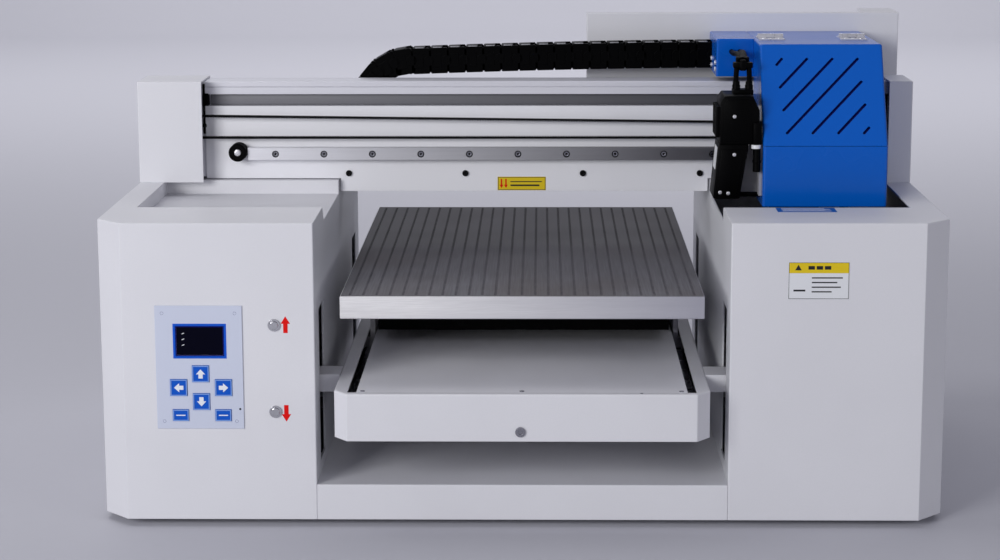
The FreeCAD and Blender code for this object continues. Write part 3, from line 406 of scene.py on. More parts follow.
# drag chain
chain = {
    "pitch": 22.5,
    "sag": 8.0,              # how far the upper run drops at the bend
    "sideThick": 3.0,
    "barThick": 3.0,
    "clear": 1.5,            # above and below the side plates
    "outer": (1.2, 3.5),     # the outer plate starts inside the pitch and ends outside it
    "inner": (4.5, 4.0),     # the inner plate starts outside it and ends inside
    "corner": (3.0, 4.0),
    "bossRadius": 6.5,
    "bossAhead": 0.5,
    "raised": 0.8,           # bosses and ribs, out of the side plates
    "rib": (4.0, 6.5, 8.5),  # from the link's two ends, and half its height
    "bar": (3.0, 5.0),       # from the link's two ends
    "worn": (5.5, 2.0, 0.4), # half sizes of the painted glint strips
}
upperLow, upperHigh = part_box("chain_upper")
lowerLow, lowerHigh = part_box("chain_lower")
bendLow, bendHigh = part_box("chain_bend")
chainMiddle = (upperLow[1] + upperHigh[1]) / 2
halfWide = (upperHigh[1] - upperLow[1]) / 2
halfHigh = (upperHigh[2] - upperLow[2]) / 2


def addLink(bm, place):
    # one link: its own X runs along the chain and its Z points outwards
    reach = chain["pitch"] / 2000
    thick, barThick, raised = (chain[key] / 1000 for key in ("sideThick", "barThick", "raised"))
    outer, inner, corner, rib, bar = ([number / 1000 for number in chain[key]]
                                      for key in ("outer", "inner", "corner", "rib", "bar"))
    height = halfHigh - chain["clear"] / 1000
    plates = ((0, -reach + outer[0], reach + outer[1]), (thick * 0.9, -reach - inner[0], -reach + inner[1]))
    for side in (-1, 1):
        for inset, start, end in plates:
            y = side * (halfWide - inset)
            x0, x1, flat = start + corner[0], end - corner[0], height - corner[1]
            outline = ((x0, -height), (x1, -height), (end, -flat), (end, flat),
                       (x1, height), (x0, height), (start, flat), (start, -flat))
            addPlate(bm, [place @ Vector((x, y, z)) for x, z in outline],
                     (place.to_3x3() @ Vector((0, -side * thick, 0))))
        face = side * halfWide
        centre = Vector((reach + chain["bossAhead"] / 1000, face, 0))
        addRod(bm, place @ centre, place @ (centre + Vector((0, side * raised, 0))),
               chain["bossRadius"] / 1000, 12)
        addBox(bm, (-reach + rib[0], face - raised, -rib[2]), (reach - rib[1], face + raised, rib[2]), 0, place)
    for side in (-1, 1):
        top = height + 0.0002
        z0, z1 = sorted((side * top, side * (top - barThick)))
        addBox(bm, (-reach + bar[0], -halfWide + thick, z0), (reach - bar[1], halfWide - thick, z1), raised,
               place)


def droop(x):
    return -chain["sag"] / 1000 * ((upperHigh[0] - x) / (upperHigh[0] - upperLow[0])) ** 1.7


def upperChain():
    bm = bmesh.new()
    count = round((upperHigh[0] - upperLow[0]) * 1000 / chain["pitch"])
    step = (upperHigh[0] - upperLow[0]) / count
    for index in range(count):
        x = upperLow[0] + step * (index + 0.5)
        slope = math.atan2(droop(x - step / 2) - droop(x + step / 2), step)
        middle = Vector((x, chainMiddle, (upperLow[2] + upperHigh[2]) / 2 + droop(x)))
        addLink(bm, Matrix.Translation(middle) @ Matrix.Rotation(slope, 4, "Y"))
    piece = finishPiece("dragChainUpper", bm, chainPlastic, "carriage", ("chain_upper",))
    # painted glints: pale strips where the cross bars' tops meet the front side plates
    marks = bmesh.new()
    half = Vector(chain["worn"]) / 1000
    for index in range(count):
        x = upperLow[0] + step * (index + 0.5)
        top = (upperLow[2] + upperHigh[2]) / 2 + droop(x) + halfHigh
        middle = Vector((x, chainMiddle - halfWide + 0.004, top - 0.0013))
        addBox(marks, -half, half, 0.0002, Matrix.Translation(middle))
    worn = finishPiece("chainPaintedGlints", marks, platePaint, "carriage")
    for strand in (piece, worn):
        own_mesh(strand)
    return step


def bentChain(step):
    bm = bmesh.new()
    outer = (upperHigh[2] - chain["sag"] / 1000 - lowerLow[2]) / 2
    radius = outer - halfHigh
    centre = Vector((upperLow[0], chainMiddle, lowerLow[2] + outer))
    count = round(math.pi * radius / step)
    for index in range(count):
        angle = math.pi * (index + 0.5) / count
        turn = Matrix.Rotation(-angle, 4, "Y")
        addLink(bm, Matrix.Translation(centre) @ turn @ Matrix.Translation((0, 0, radius)))
    finishPiece("dragChainBend", bm, chainPlastic, "chain_loop", ("chain_bend",))


def lowerChain():
    bm = bmesh.new()
    count = round((lowerHigh[0] - lowerLow[0]) * 1000 / chain["pitch"])
    step = (lowerHigh[0] - lowerLow[0]) / count
    for index in range(count):
        middle = Vector((lowerLow[0] + step * (index + 0.5), chainMiddle, (lowerLow[2] + lowerHigh[2]) / 2))
        addLink(bm, Matrix.Translation(middle) @ Matrix.Rotation(math.pi, 4, "Y"))
    piece = finishPiece("dragChainLower", bm, chainPlastic, None, ("chain_lower",))
    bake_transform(piece)


linkStep = upperChain()
bentChain(linkStep)
lowerChain()
print("drag chain built")

# belt teeth along the two straight runs
beltTeeth = {"pitch": 2.0, "width": 1.0, "height": 1.1, "clear": 14.0, "beltThick": 1.5}
idlerLow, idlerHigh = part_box("idler_pulley")
driveLow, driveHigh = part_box("drive_pulley")
beltLow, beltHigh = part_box("drive_belt")


def teethOnBelt():
    bm = bmesh.new()
    beltThick = beltTeeth["beltThick"] / 1000
    topLeft = Vector(((idlerLow[0] + idlerHigh[0]) / 2, 0, beltHigh[2] - beltThick))
    driveAxis = ((driveLow[0] + driveHigh[0]) / 2, (driveLow[2] + driveHigh[2]) / 2)
    bottom = beltLow[2] + beltThick
    topRight = Vector((driveAxis[0], 0, 2 * driveAxis[1] - bottom))
    runs = ((topLeft, topRight, -1), (Vector((topLeft.x, 0, bottom)), Vector((topRight.x, 0, bottom)), 1))
    for start, end, side in runs:
        along = end - start
        count = int((along.length * 1000 - 2 * beltTeeth["clear"]) / beltTeeth["pitch"])
        turn = Matrix.Rotation(-math.atan2(along.z, along.x), 4, "Y")
        for index in range(count):
            at = start + along.normalized() * (beltTeeth["clear"] + beltTeeth["pitch"] * index) / 1000
            z0, z1 = sorted((0, side * beltTeeth["height"] / 1000))
            addBox(bm, (0, beltLow[1], z0), (beltTeeth["width"] / 1000, beltHigh[1], z1), 0,
                   Matrix.Translation(at) @ turn)
    finishPiece("beltTeeth", bm, beltRubber, "frame")


teethOnBelt()

# print bed with its rows of suction holes
bedHoles = {
    "across": 27,
    "along": 87,
    "pitchX": 14.7,
    "pitchY": 7.3,
    "holeX": 3.2,
    "holeY": 3.6,
    "corner": 0.29,          # of the hole's width, cut off each corner
    "depth": 3.0,
    "bevel": 0.8,            # round the plate's rim
}


def printBed():
    low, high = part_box("vacuum_table")
    middle = Vector(((low[0] + high[0]) / 2, (low[1] + high[1]) / 2, high[2]))
    half = ((high[0] - low[0]) / 2, (high[1] - low[1]) / 2)
    field = (bedHoles["across"] * bedHoles["pitchX"] / 2000, bedHoles["along"] * bedHoles["pitchY"] / 2000)
    reach = (bedHoles["holeX"] / 2000, bedHoles["holeY"] / 2000)
    bm = bmesh.new()
    grid = bmesh.ops.create_grid(bm, x_segments=bedHoles["across"], y_segments=bedHoles["along"], size=1,
                                 matrix=Matrix.LocRotScale(middle, None, Vector((*field, 1))))
    cells = list({face for vert in grid["verts"] for face in vert.link_faces})
    bmesh.ops.inset_individual(bm, faces=cells, thickness=0.001, use_even_offset=True)
    for face in cells:
        centre = face.calc_center_median()
        for vert in face.verts:
            for axis in (0, 1):
                vert.co[axis] = centre[axis] + math.copysign(reach[axis], vert.co[axis] - centre[axis])
    corners = list({vert for face in cells for vert in face.verts})
    bmesh.ops.bevel(bm, geom=corners, offset=bedHoles["holeX"] * bedHoles["corner"] / 1000, affect="VERTICES",
                    segments=1, profile=0.5, material=-1)
    smallest = reach[0] * reach[1] * 4
    holes = [face for face in bm.faces if len(face.verts) == 8 and face.calc_area() < smallest]
    sunk = bmesh.ops.extrude_discrete_faces(bm, faces=holes)["faces"]
    for face in {near for bottom in sunk for edge in bottom.edges for near in edge.link_faces}:
        face.material_index = 1
    bmesh.ops.translate(bm, verts=[vert for face in sunk for vert in face.verts],
                        vec=(0, 0, -bedHoles["depth"] / 1000))
    bevel = bedHoles["bevel"] / 1000
    rim = [edge for edge in bm.edges if edge.is_boundary]
    for inset, z in ((bevel, high[2]), (0, high[2] - bevel), (0, low[2] + bevel), (bevel, low[2])):
        pushed = bmesh.ops.extrude_edge_only(bm, edges=rim)["geom"]
        for vert in (item for item in pushed if isinstance(item, bmesh.types.BMVert)):
            for axis in (0, 1):
                away = vert.co[axis] - middle[axis]
                if abs(away) > field[axis] - 1e-5:
                    vert.co[axis] = middle[axis] + math.copysign(half[axis] - inset, away)
            vert.co.z = z
        rim = [item for item in pushed if isinstance(item, bmesh.types.BMEdge) and item.is_boundary]
    bmesh.ops.contextual_create(bm, geom=rim)
    piece = finishPiece("printBed", bm, bedPlate, "bed", ("vacuum_table",))
    piece.data.materials.append(bedHoleShade)
    print("bed holes:", len(sunk))


printBed()

# UV lamp
lampLow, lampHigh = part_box("uv_lamp")
lamp = {
    "back": 64.0,            # all in millimetres from the lamp's lowest left front corner
    "upper": ((7, 64), (7, 113), (12, 121), (45, 121), (53, 104), (53, 64)),
    "lower": ((0, 0), (31, 0), (41, 64), (6, 64)),
    "upperCover": ((11, 68), (11, 110), (15, 117), (43, 117), (49, 103), (49, 68)),
    "lowerCover": ((4.5, 4), (27.5, 4), (35, 58), (9, 58)),
    "fins": 7,
    "finLong": 36.0,
    "collars": (27.5, 42.5),
    "screws": ((23.5, -0.8, 97), (8, 0.8, 7.5), (17.5, 0.8, 6.5), (24, 0.8, 52)),
    "sticker": ((2.9, 14, 33), (2.9, 46, 33), (5.3, 46, 59), (5.3, 14, 59)),
}
# the post beside the lamp, in the casing's millimetres
lampPost = {
    "cap": ((272, 178.2, 397.8), (272, 178.2, 402)),
    "rod": ((273, 178.6, 370.4), (273, 178.6, 397.8)),
    "collar": ((273, 178.6, 381), (273, 178.6, 384)),
    "block": ((268.5, 176.5, 402), (278.6, 183.5, 428)),
}


def onLamp(x, y, z):
    return Vector((lampLow[0] + x / 1000, lampLow[1] + y / 1000, lampLow[2] + z / 1000))


def uvLamp():
    bm = bmesh.new()
    depth = Vector((0, lamp["back"] / 1000, 0))
    addPlate(bm, [onLamp(x, 0, z) for x, z in lamp["upper"]], depth, 0.0016)
    addPlate(bm, [onLamp(x, 2, z) for x, z in lamp["lower"]], depth - Vector((0, 0.004, 0)), 0.0014)
    # raised cover plates on the upper and the lower body
    addPlate(bm, [onLamp(x, -0.01, z) for x, z in lamp["upperCover"]], Vector((0, -0.0008, 0)), 0.0003)
    addPlate(bm, [onLamp(x, 2, z) for x, z in lamp["lowerCover"]], Vector((0, -0.0012, 0)), 0.0004)
    # heat-sink fins on the left side
    for index in range(lamp["fins"]):
        y = 6 + index * (lamp["back"] - 14) / (lamp["fins"] - 1)
        addBox(bm, onLamp(2.5, y, 72), onLamp(8.5, y + 2.2, 72 + lamp["finLong"]), 0.0004)
    # lens housing under the lower body
    addBox(bm, onLamp(4, 10, -1.5), onLamp(27, lamp["back"] - 10, 1), 0.0005)
    # base strip that joins the lamp to the print head
    addBox(bm, onLamp(30, 20, -0.5), onLamp(57, 24, 5), 0.0005)
    # connector on top with two cable collars
    addBox(bm, onLamp(23, 20, 120), onLamp(47, 44, 126), 0.001)
    for x in lamp["collars"]:
        addRod(bm, onLamp(x, 32, 125), onLamp(x, 32, 131), 0.0048, 18, 0.0006)
        addRod(bm, onLamp(x, 32, 131), onLamp(x, 32, 135), 0.0041, 18, 0.0006)
    finishPiece("uvLamp", bm, blackPlastic, "carriage", ("uv_lamp",))


def lampScrews():
    bm = bmesh.new()
    for x, y, z in lamp["screws"]:
        addRod(bm, onLamp(x, y, z), onLamp(x, y - 1.0, z), 0.0022, 14, 0.0005)
        addRod(bm, onLamp(x, y - 0.9, z), onLamp(x, y - 1.15, z), 0.0011, 6)
    finishPiece("lampScrews", bm, hingeSteel, "carriage")


def lampExtras():
    cap, rod, collar, block = ([spot(*end) for end in lampPost[key]] for key in ("cap", "rod", "collar", "block"))
    bm = bmesh.new()
    addPlate(bm, [onLamp(*corner) for corner in lamp["sticker"]], Vector((-0.0005, 0, 0)))
    finishPiece("lampSticker", bm, stickerWhite, "carriage")
    bm = bmesh.new()
    addRod(bm, *cap, 0.0055, 24, 0.0006)
    finishPiece("lampPostCap", bm, stickerWhite, "carriage")
    bm = bmesh.new()
    addRod(bm, *rod, 0.0045)
    addRod(bm, *collar, 0.0051)
    addBox(bm, *block, 0.0012)
    finishPiece("lampPost", bm, blackPlastic, "carriage")


uvLamp()
lampScrews()
lampExtras()

# lamp cables: two legs that meet in a clip and go back to the chain bracket
cables = {
    "radius": 0.0031,
    "right": 0.007,          # of the middle of the CAD's hoses
    "back": 0.032,           # from the lamp's front
    "clip": (0.0115, 0.0055, 0.0035),      # half sizes, as are the next two
    "clipCore": (0.0035, 0.0066, 0.0065),
    "upperClip": (0.0078, 0.0048, 0.003),
    "sleeve": (0.0085, 0.0045),            # its two radii
}
hoseLow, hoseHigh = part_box("lamp_hoses")


def cablePath(side):
    # one row per point: how far the leg stands from the middle, then its Y and Z
    x, y = (hoseLow[0] + hoseHigh[0]) / 2 + cables["right"], lampLow[1] + cables["back"]
    back, top = hoseHigh[1], hoseHigh[2]
    rows = ((0.0078, y, lampHigh[2] + 0.004), (0.0078, y, lampHigh[2] + 0.016),
            (0.0068, y + 0.001, hoseLow[2] + 0.026), (0.0036, y + 0.008, top - 0.008),
            (0.0034, y + 0.035, top - 0.003), (0.0048, back - 0.03, top - 0.008), (0.005, back, top - 0.0075))
    return [Vector((x + side * away, depth, height)) for away, depth, height in rows]


def lampCables():
    for label, side in (("Left", -1), ("Right", 1)):
        curve = bpy.data.curves.new("cableRoute" + label, "CURVE")
        curve.dimensions = "3D"
        curve.bevel_depth = cables["radius"]
        curve.bevel_resolution = 3
        curve.resolution_u = 8
        curve.use_fill_caps = True
        route = curve.splines.new("NURBS")
        points = cablePath(side)
        route.points.add(len(points) - 1)
        for point, place in zip(route.points, points):
            point.co = (*place, 1)
        route.order_u = 3
        route.use_endpoint_u = True
        drawn = addObject("cableRoute" + label, curve)
        mesh = bpy.data.meshes.new_from_object(drawn)
        bpy.data.objects.remove(drawn)
        bm = bmesh.new()
        bm.from_mesh(mesh)
        bmesh.ops.remove_doubles(bm, verts=bm.verts, dist=1e-6)
        finishPiece("lampCable" + label, bm, beltRubber, "carriage",
                    ("lamp_hoses",) if side < 0 else ())
    bm = bmesh.new()
    lower, upper, rear = cablePath(0)[2:5]
    for middle, key, soft in ((lower, "clip", 0.0014), (lower, "clipCore", 0.0012), (upper, "upperClip", 0.0014)):
        addBox(bm, middle - Vector(cables[key]), middle + Vector(cables[key]), soft)
    finishPiece("cableClip", bm, blackPlastic, "carriage")
    bm = bmesh.new()
    near, far = cables["sleeve"]
    addRod(bm, lower + Vector((0, 0.002, 0.001)), rear + Vector((0.003, 0.012, -0.001)), near, 18, 0.001, far)
    finishPiece("cableSleeve", bm, beltRubber, "carriage")


lampCables()
print("lamp built")


# small metal parts
def addScrew(bm, at, away, radius, high):
    # domed head with a six-sided socket; away points out of the surface
    at, away = Vector(at), Vector(away)
    addRod(bm, at, at + away * high, radius, 18, min(high * 0.45, radius * 0.4))
    addRod(bm, at + away * (high - 0.0001), at + away * (high + 0.0001), radius * 0.48, 6)


smallParts = {
    "bracketScrews": ((0.074, 0.008), (0.074, 0.016), (0.012, 0.008), (0.012, 0.016)),
    "leafWide": 0.031,
    "leafScrews": (0.2, 0.5, 0.8),       # along each hinge leaf
    "leafInset": 0.009,
    "endScrew": -0.3966,                 # its place along X
    "endBlock": ((-397, 343, 430), (-391, 356, 445)),
    # painted shadow: a thin black strip along the end box's edge
    "endShadeStrip": ((-398, 343.5, 395), (-395.2, 346, 457)),
}


def screwPieces():
    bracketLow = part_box("chain_bracket")[0]
    bm = bmesh.new()
    for y, z in smallParts["bracketScrews"]:
        addScrew(bm, (bracketLow[0], bracketLow[1] + y, bracketLow[2] + z), (-1, 0, 0), 0.0028, 0.0018)
    finishPiece("bracketScrews", bm, hingeSteel, "carriage")

    for name, body in (("hinge_back_leaves", "carriage"), ("hinge_lid_leaves", "lid")):
        low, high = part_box(name)
        bm = bmesh.new()
        width, inset = smallParts["leafWide"], smallParts["leafInset"]
        for start in (low[0] + (0.0005 if body == "carriage" else 0), high[0] - width):
            for part in smallParts["leafScrews"]:
                y = high[1] - inset if body == "carriage" else low[1] + inset
                addScrew(bm, (start + width * part, y, low[2] + 0.0016), (0, 0, 1), 0.0026, 0.0008)
        finishPiece("hingeScrews" + body.title(), bm, hingeSteel, body)

    low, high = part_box("bumper")
    middle = ((low[0] + high[0]) / 2, low[1] + 0.004, (low[2] + high[2]) / 2)
    bm = bmesh.new()
    addScrew(bm, middle, (0, -1, 0), 0.0045, 0.0024)
    finishPiece("bumperScrew", bm, hingeSteel, "frame")

    low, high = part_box("idler_pulley")
    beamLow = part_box("beam_face_plate")[0]
    bm = bmesh.new()
    addScrew(bm, (smallParts["endScrew"], beamLow[1], (low[2] + high[2]) / 2), (0, -1, 0), 0.0028, 0.0018)
    finishPiece("beamEndScrew", bm, blackSteel, "frame")
    # a black bracket at the beam's left end, and beside the end box's edge a thin black strip of painted shadow
    bm = bmesh.new()
    addBox(bm, *(spot(*corner) for corner in smallParts["endBlock"]), 0.0006)
    addBox(bm, *(spot(*corner) for corner in smallParts["endShadeStrip"]), 0.0004)
    finishPiece("beamEndBlockAndShadeStrip", bm, blackPlastic, "frame")


screwPieces()

# painted shade in the beam's recess, the guard over the drive pulley, painted shade round the rail's
# counterbores, painted shadow rings round the lift buttons, and a sheet of painted shade behind the vents; places
# are in the casing's millimetres
beamTrim = {
    "recessShade": ((-389, 353, 430.2), (444, 356.6, 443.4)),
    "guard": ((427.5, 322, 345), (444.5, 344.8, 446)),
    "guardVents": (6, 14, 15, 7),       # count, first one's height, pitch, how high each is
    "railHoles": (34.5, 60.0, 12),      # first one from the rail's left end, pitch, count
    "ringRadius": 3.75,
}
ventShadeSheet = {"front": 172, "crease": 401.2, "topFront": 242, "top": 514, "behind": 4.0}


def trimPieces():
    # painted shade: a grey sheet in the beam's recess
    bm = bmesh.new()
    addBox(bm, *(spot(*corner) for corner in beamTrim["recessShade"]), 0.0003)
    finishPiece("recessPaintedShade", bm, recessPaintedShade, "frame")
    bm = bmesh.new()
    low, high = beamTrim["guard"]
    addBox(bm, spot(*low), spot(*high), 0.0012)
    count, first, pitch, tall = beamTrim["guardVents"]
    for index in range(count):
        z = low[2] + first + index * pitch
        addBox(bm, spot(low[0] + 3, low[1] - 0.6, z), spot(high[0] - 3, low[1] + 1, z + tall), 0.0003)
    finishPiece("pulleyGuard", bm, blackPlastic, "frame")
    # painted shade: dark rims in the rail's counterbores, and dark sockets of the screws in them
    railLow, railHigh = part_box("carriage_rail")
    bm = bmesh.new()
    first, pitch, count = beamTrim["railHoles"]
    for index in range(count):
        at = Vector((railLow[0] + (first + pitch * index) / 1000, railLow[1], (railLow[2] + railHigh[2]) / 2))
        addRing(bm, at, (0, 1, 0), beamTrim["ringRadius"] / 1000, 0.0005, 24)
        addRod(bm, at + Vector((0, 0.0013, 0)), at + Vector((0, 0.0006, 0)), 0.0013, 6)
    finishPiece("railHoleShade", bm, blackSteel, "frame")
    bm = bmesh.new()
    for name in ("lift_button_up", "lift_button_down"):
        low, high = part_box(name)
        centre = Vector(((low[0] + high[0]) / 2, spot(0, 0, 0).y - 0.0006, (low[2] + high[2]) / 2))
        addRing(bm, centre, (0, 1, 0), (high[0] - low[0]) / 2 + 0.0006, 0.0005, 28)
    finishPiece("buttonShadowRings", bm, blackSteel, "frame")
    # painted shade: a dark navy sheet just behind the lid's slanted vents, where the slots are in shade
    low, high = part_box("head_lid")
    crease = spot(0, ventShadeSheet["front"], ventShadeSheet["crease"])
    top = spot(0, ventShadeSheet["topFront"], ventShadeSheet["top"])
    slope = (top - crease).normalized()
    inward = Vector((0, slope.z, -slope.y)) * ventShadeSheet["behind"] / 1000
    start, end = crease + slope * 0.012 + inward, top - slope * 0.012 + inward
    left, right = low[0] + 0.008, high[0] - 0.008
    bm = bmesh.new()
    corners = ((left, start), (right, start), (right, end), (left, end))
    addPlate(bm, [Vector((x, at.y, at.z)) for x, at in corners], inward.normalized() * 0.0008)
    finishPiece("ventPaintedShade", bm, inkNavy, "lid")


trimPieces()


# control panel print, keys' symbols and the lift arrows
def flatShape(name, outlines, material, body, away=(0, -1, 0), thick=0.00012):
    bm = bmesh.new()
    for outline in outlines:
        addPlate(bm, outline, Vector(away) * thick)
    finishPiece(name, bm, material, body)


def rectangle(x0, x1, z0, z1, y):
    return [Vector((x0, y, z0)), Vector((x1, y, z0)), Vector((x1, y, z1)), Vector((x0, y, z1))]


def flatSheet(x0, x1, y0, y1, z):
    return [Vector((x0, y0, z)), Vector((x1, y0, z)), Vector((x1, y1, z)), Vector((x0, y1, z))]


def border(x0, x1, z0, z1, wide, y):
    return [rectangle(x0, x1, z1 - wide, z1, y), rectangle(x0, x1, z0, z0 + wide, y),
            rectangle(x0, x0 + wide, z0 + wide, z1 - wide, y), rectangle(x1 - wide, x1, z0 + wide, z1 - wide, y)]


def arrow(centre, turn, long, head, stem, headLong):
    # a solid arrow that points up before it is turned in its own plane
    half = long / 2
    shape = ((0, half), (-head / 2, half - headLong), (-stem / 2, half - headLong), (-stem / 2, -half),
             (stem / 2, -half), (stem / 2, half - headLong), (head / 2, half - headLong))
    spin = Matrix.Rotation(math.radians(turn), 2)
    turned = (spin @ Vector(point) for point in shape)
    return [Vector((centre[0] + point.x, centre[1], centre[2] + point.y)) for point in turned]


panelPrint = {
    "frameWide": 0.0042,
    "innerWide": 0.0012,
    "screws": ((0.008, 0.0085), (0.089, 0.0085), (0.008, 0.1315), (0.089, 0.1315)),
    "light": (0.004, 0.0225),            # from the right edge and from the bottom
    "arrow": (0.0105, 0.0105, 0.0048, 0.0058),
    "dash": (0.0052, 0.0006),            # half its length and half its height
    "keyRim": 0.00112,
}


def panelParts():
    low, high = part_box("control_panel")
    glassLow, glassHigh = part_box("display_glass")
    film = low[1]
    inner = panelPrint["innerWide"]
    outer = panelPrint["frameWide"] - 0.0004
    flatShape("displayFrame", border(glassLow[0] - outer, glassHigh[0] + outer, glassLow[2] - outer,
                                     glassHigh[2] + outer, panelPrint["frameWide"] - inner, film),
              inkBlue, "frame")
    flatShape("displayBorder", border(glassLow[0] - inner, glassHigh[0] + inner, glassLow[2] - inner,
                                      glassHigh[2] + inner, inner, film), inkNavy, "frame")
    face = glassLow[1]
    dashes = []
    for row in range(3):
        x, z = glassLow[0] + 0.006, glassHigh[2] - 0.0085 - row * 0.0065
        dashes.append([Vector((x, face, z)), Vector((x + 0.0028, face, z + 0.0012)),
                       Vector((x + 0.0028, face, z + 0.002)), Vector((x, face, z + 0.0008))])
    flatShape("displayMarks", dashes, inkWhite, "frame", thick=0.00006)
    marks = bmesh.new()
    for x, z in panelPrint["screws"]:
        addRing(marks, (low[0] + x, film, low[2] + z), (0, 1, 0), 0.0017, 0.00012, 20)
    finishPiece("panelScrewMarks", marks, inkNavy, "frame")
    dot = bmesh.new()
    at = Vector((high[0] - panelPrint["light"][0], film, low[2] + panelPrint["light"][1]))
    addRod(dot, at, at - Vector((0, 0.0004, 0)), 0.0011, 16)
    finishPiece("panelLight", dot, displayGlass, "frame")


def keyMarks():
    turns = {"up": 0, "left": 90, "down": 180, "right": -90}
    for key, turn in turns.items():
        low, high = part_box("key_" + key)
        middle = ((low[0] + high[0]) / 2, low[1], (low[2] + high[2]) / 2)
        flatShape("arrowOn" + key.title(), [arrow(middle, turn, *panelPrint["arrow"])], inkWhite,
                  "keypad_" + key)
    long, tall = panelPrint["dash"]
    for key in ("cancel", "enter"):
        low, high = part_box("key_" + key)
        x, z = (low[0] + high[0]) / 2, (low[2] + high[2]) / 2
        bars = [rectangle(x - long, x + long, z - tall, z + tall, low[1])]
        flatShape("markOn" + key.title(), bars, inkWhite, "keypad_" + key)
    # painted highlight: a pale rim round each raised key's edge
    edge = 0.0003
    for key in ("up", "down", "left", "right", "cancel", "enter"):
        low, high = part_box("key_" + key)
        bm = bmesh.new()
        rim = border(low[0] + edge, high[0] - edge, low[2] + edge, high[2] - edge, panelPrint["keyRim"], low[1])
        for points in rim:
            addPlate(bm, points, Vector((0, -0.0004, 0)))
        finishPiece("highlightRimOn" + key.title(), bm, keyRimHighlight, "keypad_" + key)


# painted highlight for the keys' raised edges
keyRimHighlight = finish("keyRimHighlight", shade(128, 166, 232), rough=(0.28, 0.36), grain=1500.0, grainDepth=0.00001,
                    worn=shade(150, 196, 240), dark=0.95, edge=0.0005)
panelParts()
keyMarks()


printThick = 0.0001
sheetThick = 0.00015
liftArrow = (0.019, 0.0105, 0.005, 0.0085)
notice = {
    "sheet": (293.5, 361, 253, 295),     # left, right, bottom, top in the casing's millimetres
    "lineStart": 0.026,
    "lineEnds": (0.06, 0.054, 0.058, 0.048),
    "linePitch": 0.0052,
    "badge": 0.0042,
    "barPitch": 0.009,
}


def towerMarks():
    y = faceY
    red = [arrow(spot(-262.8, 0, 224), 0, *liftArrow), arrow(spot(-263.5, 0, 122.8), 180, *liftArrow)]
    flatShape("liftArrows", red, inkRed, "frame")
    # generic notice: a plain yellow head over a few dark lines
    x0, x1, z0, z1 = (value / 1000 for value in notice["sheet"])
    z0, z1 = z0 + baseZ, z1 + baseZ
    flatShape("noticeSheet", [rectangle(x0, x1, z0, z1, y)], stickerWhite, "frame",
              thick=sheetThick)
    top = y - sheetThick
    flatShape("noticeHead", [rectangle(x0 + 0.001, x1 - 0.001, z1 - 0.0125, z1 - 0.001, top)],
              stickerYellow, "frame", thick=printThick)
    lines = border(x0 + 0.0006, x1 - 0.0006, z0 + 0.0006, z1 - 0.0006, 0.0005, top)
    for index, end in enumerate(notice["lineEnds"]):
        z = z1 - 0.0185 - index * notice["linePitch"]
        lines.append(rectangle(x0 + notice["lineStart"], x0 + end, z, z + 0.0014, top))
    lines.append(rectangle(x0 + 0.006, x0 + 0.019, z0 + 0.009, z0 + 0.011, top))
    flatShape("noticeLines", lines, inkBlack, "frame", thick=printThick)
    face, radius = top - printThick, notice["badge"]
    badge = [Vector((x0 + 0.011 + radius * math.cos(turn), face, z1 - 0.0072 + radius * math.sin(turn)))
             for turn in (math.pi / 2, math.pi * 7 / 6, math.pi * 11 / 6)]
    starts = [x0 + 0.022 + notice["barPitch"] * index for index in range(3)]
    bars = [rectangle(x, x + 0.007, z1 - 0.0085, z1 - 0.0045, face) for x in starts]
    flatShape("noticeMarks", [badge] + bars, inkBlack, "frame", thick=printThick)


beamNotice = {
    "sheet": (-0.033, 0.027, 324, 341),  # X in metres, heights in the casing's millimetres
    "lines": ((0.022, 0.0102, 0.0114), (0.019, 0.0052, 0.0072)),
    "arrows": (-0.0282, -0.0226),
    "arrow": (0.0115, 0.0048, 0.0018, 0.0042),
}
topNotice = {
    "x": (0.289, 0.356),
    "y": (80, 111),
    "rowX": (0.295, 0.35),
    "rows": 4,
    "rowPitch": 0.0062,
    "rowHigh": 0.0022,
    "shorter": 0.006,        # every second row
}


def beamMarks():
    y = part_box("beam_face_plate")[0][1]
    x0, x1, low, high = beamNotice["sheet"]
    z0, z1 = spot(0, 0, low).z, spot(0, 0, high).z
    flatShape("beamNotice", [rectangle(x0, x1, z0, z1, y)], stickerYellow, "frame",
              thick=sheetThick)
    top = y - sheetThick
    bars = border(x0 + 0.0005, x1 - 0.0005, z0 + 0.0005, z1 - 0.0005, 0.0006, top)
    bars += [rectangle(-0.017, end, z0 + start, z0 + stop, top) for end, start, stop in beamNotice["lines"]]
    flatShape("beamNoticeLines", bars, inkBlack, "frame", thick=printThick)
    middle = (z0 + z1) / 2
    pair = [arrow((x, top, middle), 180, *beamNotice["arrow"]) for x in beamNotice["arrows"]]
    flatShape("beamNoticeArrows", pair, inkRed, "frame", thick=printThick)
    # blue notice on the right tower's top
    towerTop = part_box("right_tower_cover")[1][2]
    y0, y1 = (spot(0, depth, 0).y for depth in topNotice["y"])
    flatShape("topNotice", [flatSheet(*topNotice["x"], y0, y1, towerTop)], stickerBlue, "frame",
              away=(0, 0, 1), thick=sheetThick)
    rows = []
    for index in range(topNotice["rows"]):
        y = y0 + 0.006 + index * topNotice["rowPitch"]
        end = topNotice["rowX"][1] - topNotice["shorter"] * (index % 2)
        rows.append(flatSheet(topNotice["rowX"][0], end, y, y + topNotice["rowHigh"], towerTop + sheetThick))
    flatShape("topNoticeRows", rows, inkWhite, "frame", away=(0, 0, 1), thick=printThick)


towerMarks()
beamMarks()
print("marks built")

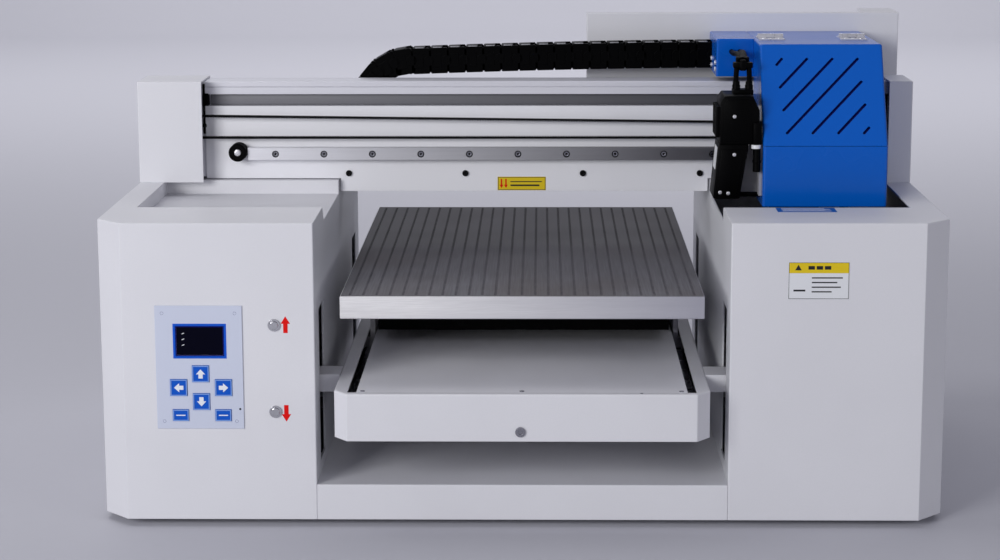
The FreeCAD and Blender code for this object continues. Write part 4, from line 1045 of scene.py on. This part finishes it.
# studio
studio = {
    "floor": shade(196, 196, 204),
    "sky": shade(190, 190, 203),
    "skyStrength": 0.46,
    "front": -6.0,
    "halfWide": 9.0,
    "bend": 1.2,
    "bendStart": 6.4,        # beyond the cameras that look from behind
    "wallHigh": 4.0,
    "lights": (              # name, place, aim, size, watts
        ("keyLight", (-2.0, -2.9, 1.2), (0, 0, 0.3), (1.5, 1.2), 63),
        ("fillLight", (2.5, -2.2, 0.9), (0, 0, 0.25), (1.6, 1.2), 10),
        ("topLight", (-1.0, 0.1, 1.95), (-0.3, 0.1, 0), (1.1, 1.0), 7),
        ("wallLight", (0, 4.6, 3.6), (0, 5.6, 0), (7, 4), 175),
    ),
}


def floorAndWall():
    bm = bmesh.new()
    first = [bm.verts.new((side * studio["halfWide"], studio["front"], 0)) for side in (-1, 1)]
    edge = bm.edges.new(first)
    pushed = bmesh.ops.extrude_edge_only(bm, edges=[edge])["geom"]
    moved = [item for item in pushed if isinstance(item, bmesh.types.BMVert)]
    bmesh.ops.translate(bm, verts=moved, vec=(0, studio["bendStart"] - studio["front"], 0))
    last = [item for item in pushed
            if isinstance(item, bmesh.types.BMEdge) and all(vert in moved for vert in item.verts)]
    turned = bmesh.ops.spin(bm, geom=last, cent=(0, studio["bendStart"], studio["bend"]), axis=(1, 0, 0),
                            angle=math.pi / 2, steps=24)
    last = [item for item in turned["geom_last"] if isinstance(item, bmesh.types.BMEdge)]
    pushed = bmesh.ops.extrude_edge_only(bm, edges=last)["geom"]
    moved = [item for item in pushed if isinstance(item, bmesh.types.BMVert)]
    bmesh.ops.translate(bm, verts=moved, vec=(0, 0, studio["wallHigh"]))
    bmesh.ops.recalc_face_normals(bm, faces=bm.faces)
    mesh = bpy.data.meshes.new("studioFloor")
    for face in bm.faces:
        face.smooth = True
    bm.to_mesh(mesh)
    bm.free()
    floor = addObject("studioFloor", mesh)
    mesh.materials.append(finish("floorPaper", studio["floor"], rough=(0.8, 0.9), grain=60.0, grainDepth=0.0,
                                 mottle=0.8, dark=0.985, edge=0.0))


def addLamp(name, at, towards, wide, power):
    light = bpy.data.lights.new(name, "AREA")
    light.shape = "RECTANGLE"
    light.size, light.size_y = wide
    light.energy = power
    lampObject = addObject(name, light)
    lampObject.location = at
    lampObject.rotation_euler = (Vector(towards) - Vector(at)).to_track_quat("-Z", "Y").to_euler()


floorAndWall()
for row in studio["lights"]:
    addLamp(*row)

world = bpy.data.worlds.new("studioSky")
world.use_nodes = True
world.node_tree.nodes["Background"].inputs["Color"].default_value = studio["sky"]
world.node_tree.nodes["Background"].inputs["Strength"].default_value = studio["skyStrength"]
bpy.context.scene.world = world
bpy.context.scene.view_settings.view_transform = "Standard"

cameraView = {"at": (0.020352, -2.847297, 0.757619), "down": 0.184543, "turn": -0.017534, "tilt": -0.002571,
              "lens": 84.361}


def addCamera():
    down, turn, tilt = cameraView["down"], cameraView["turn"], cameraView["tilt"]
    ahead = Vector((math.sin(turn) * math.cos(down), math.cos(turn) * math.cos(down), -math.sin(down)))
    right = Vector((math.cos(turn), -math.sin(turn), 0))
    up = right.cross(ahead)
    across = math.cos(tilt) * right + math.sin(tilt) * up
    above = math.cos(tilt) * up - math.sin(tilt) * right
    camera = bpy.data.cameras.new("studioCamera")
    camera.lens = cameraView["lens"]
    camera.sensor_width = 36
    holder = addObject("studioCamera", camera)
    holder.matrix_world = (Matrix.Translation(cameraView["at"])
                           @ Matrix((across, above, -ahead)).transposed().to_4x4())
    bpy.context.scene.camera = holder


addCamera()
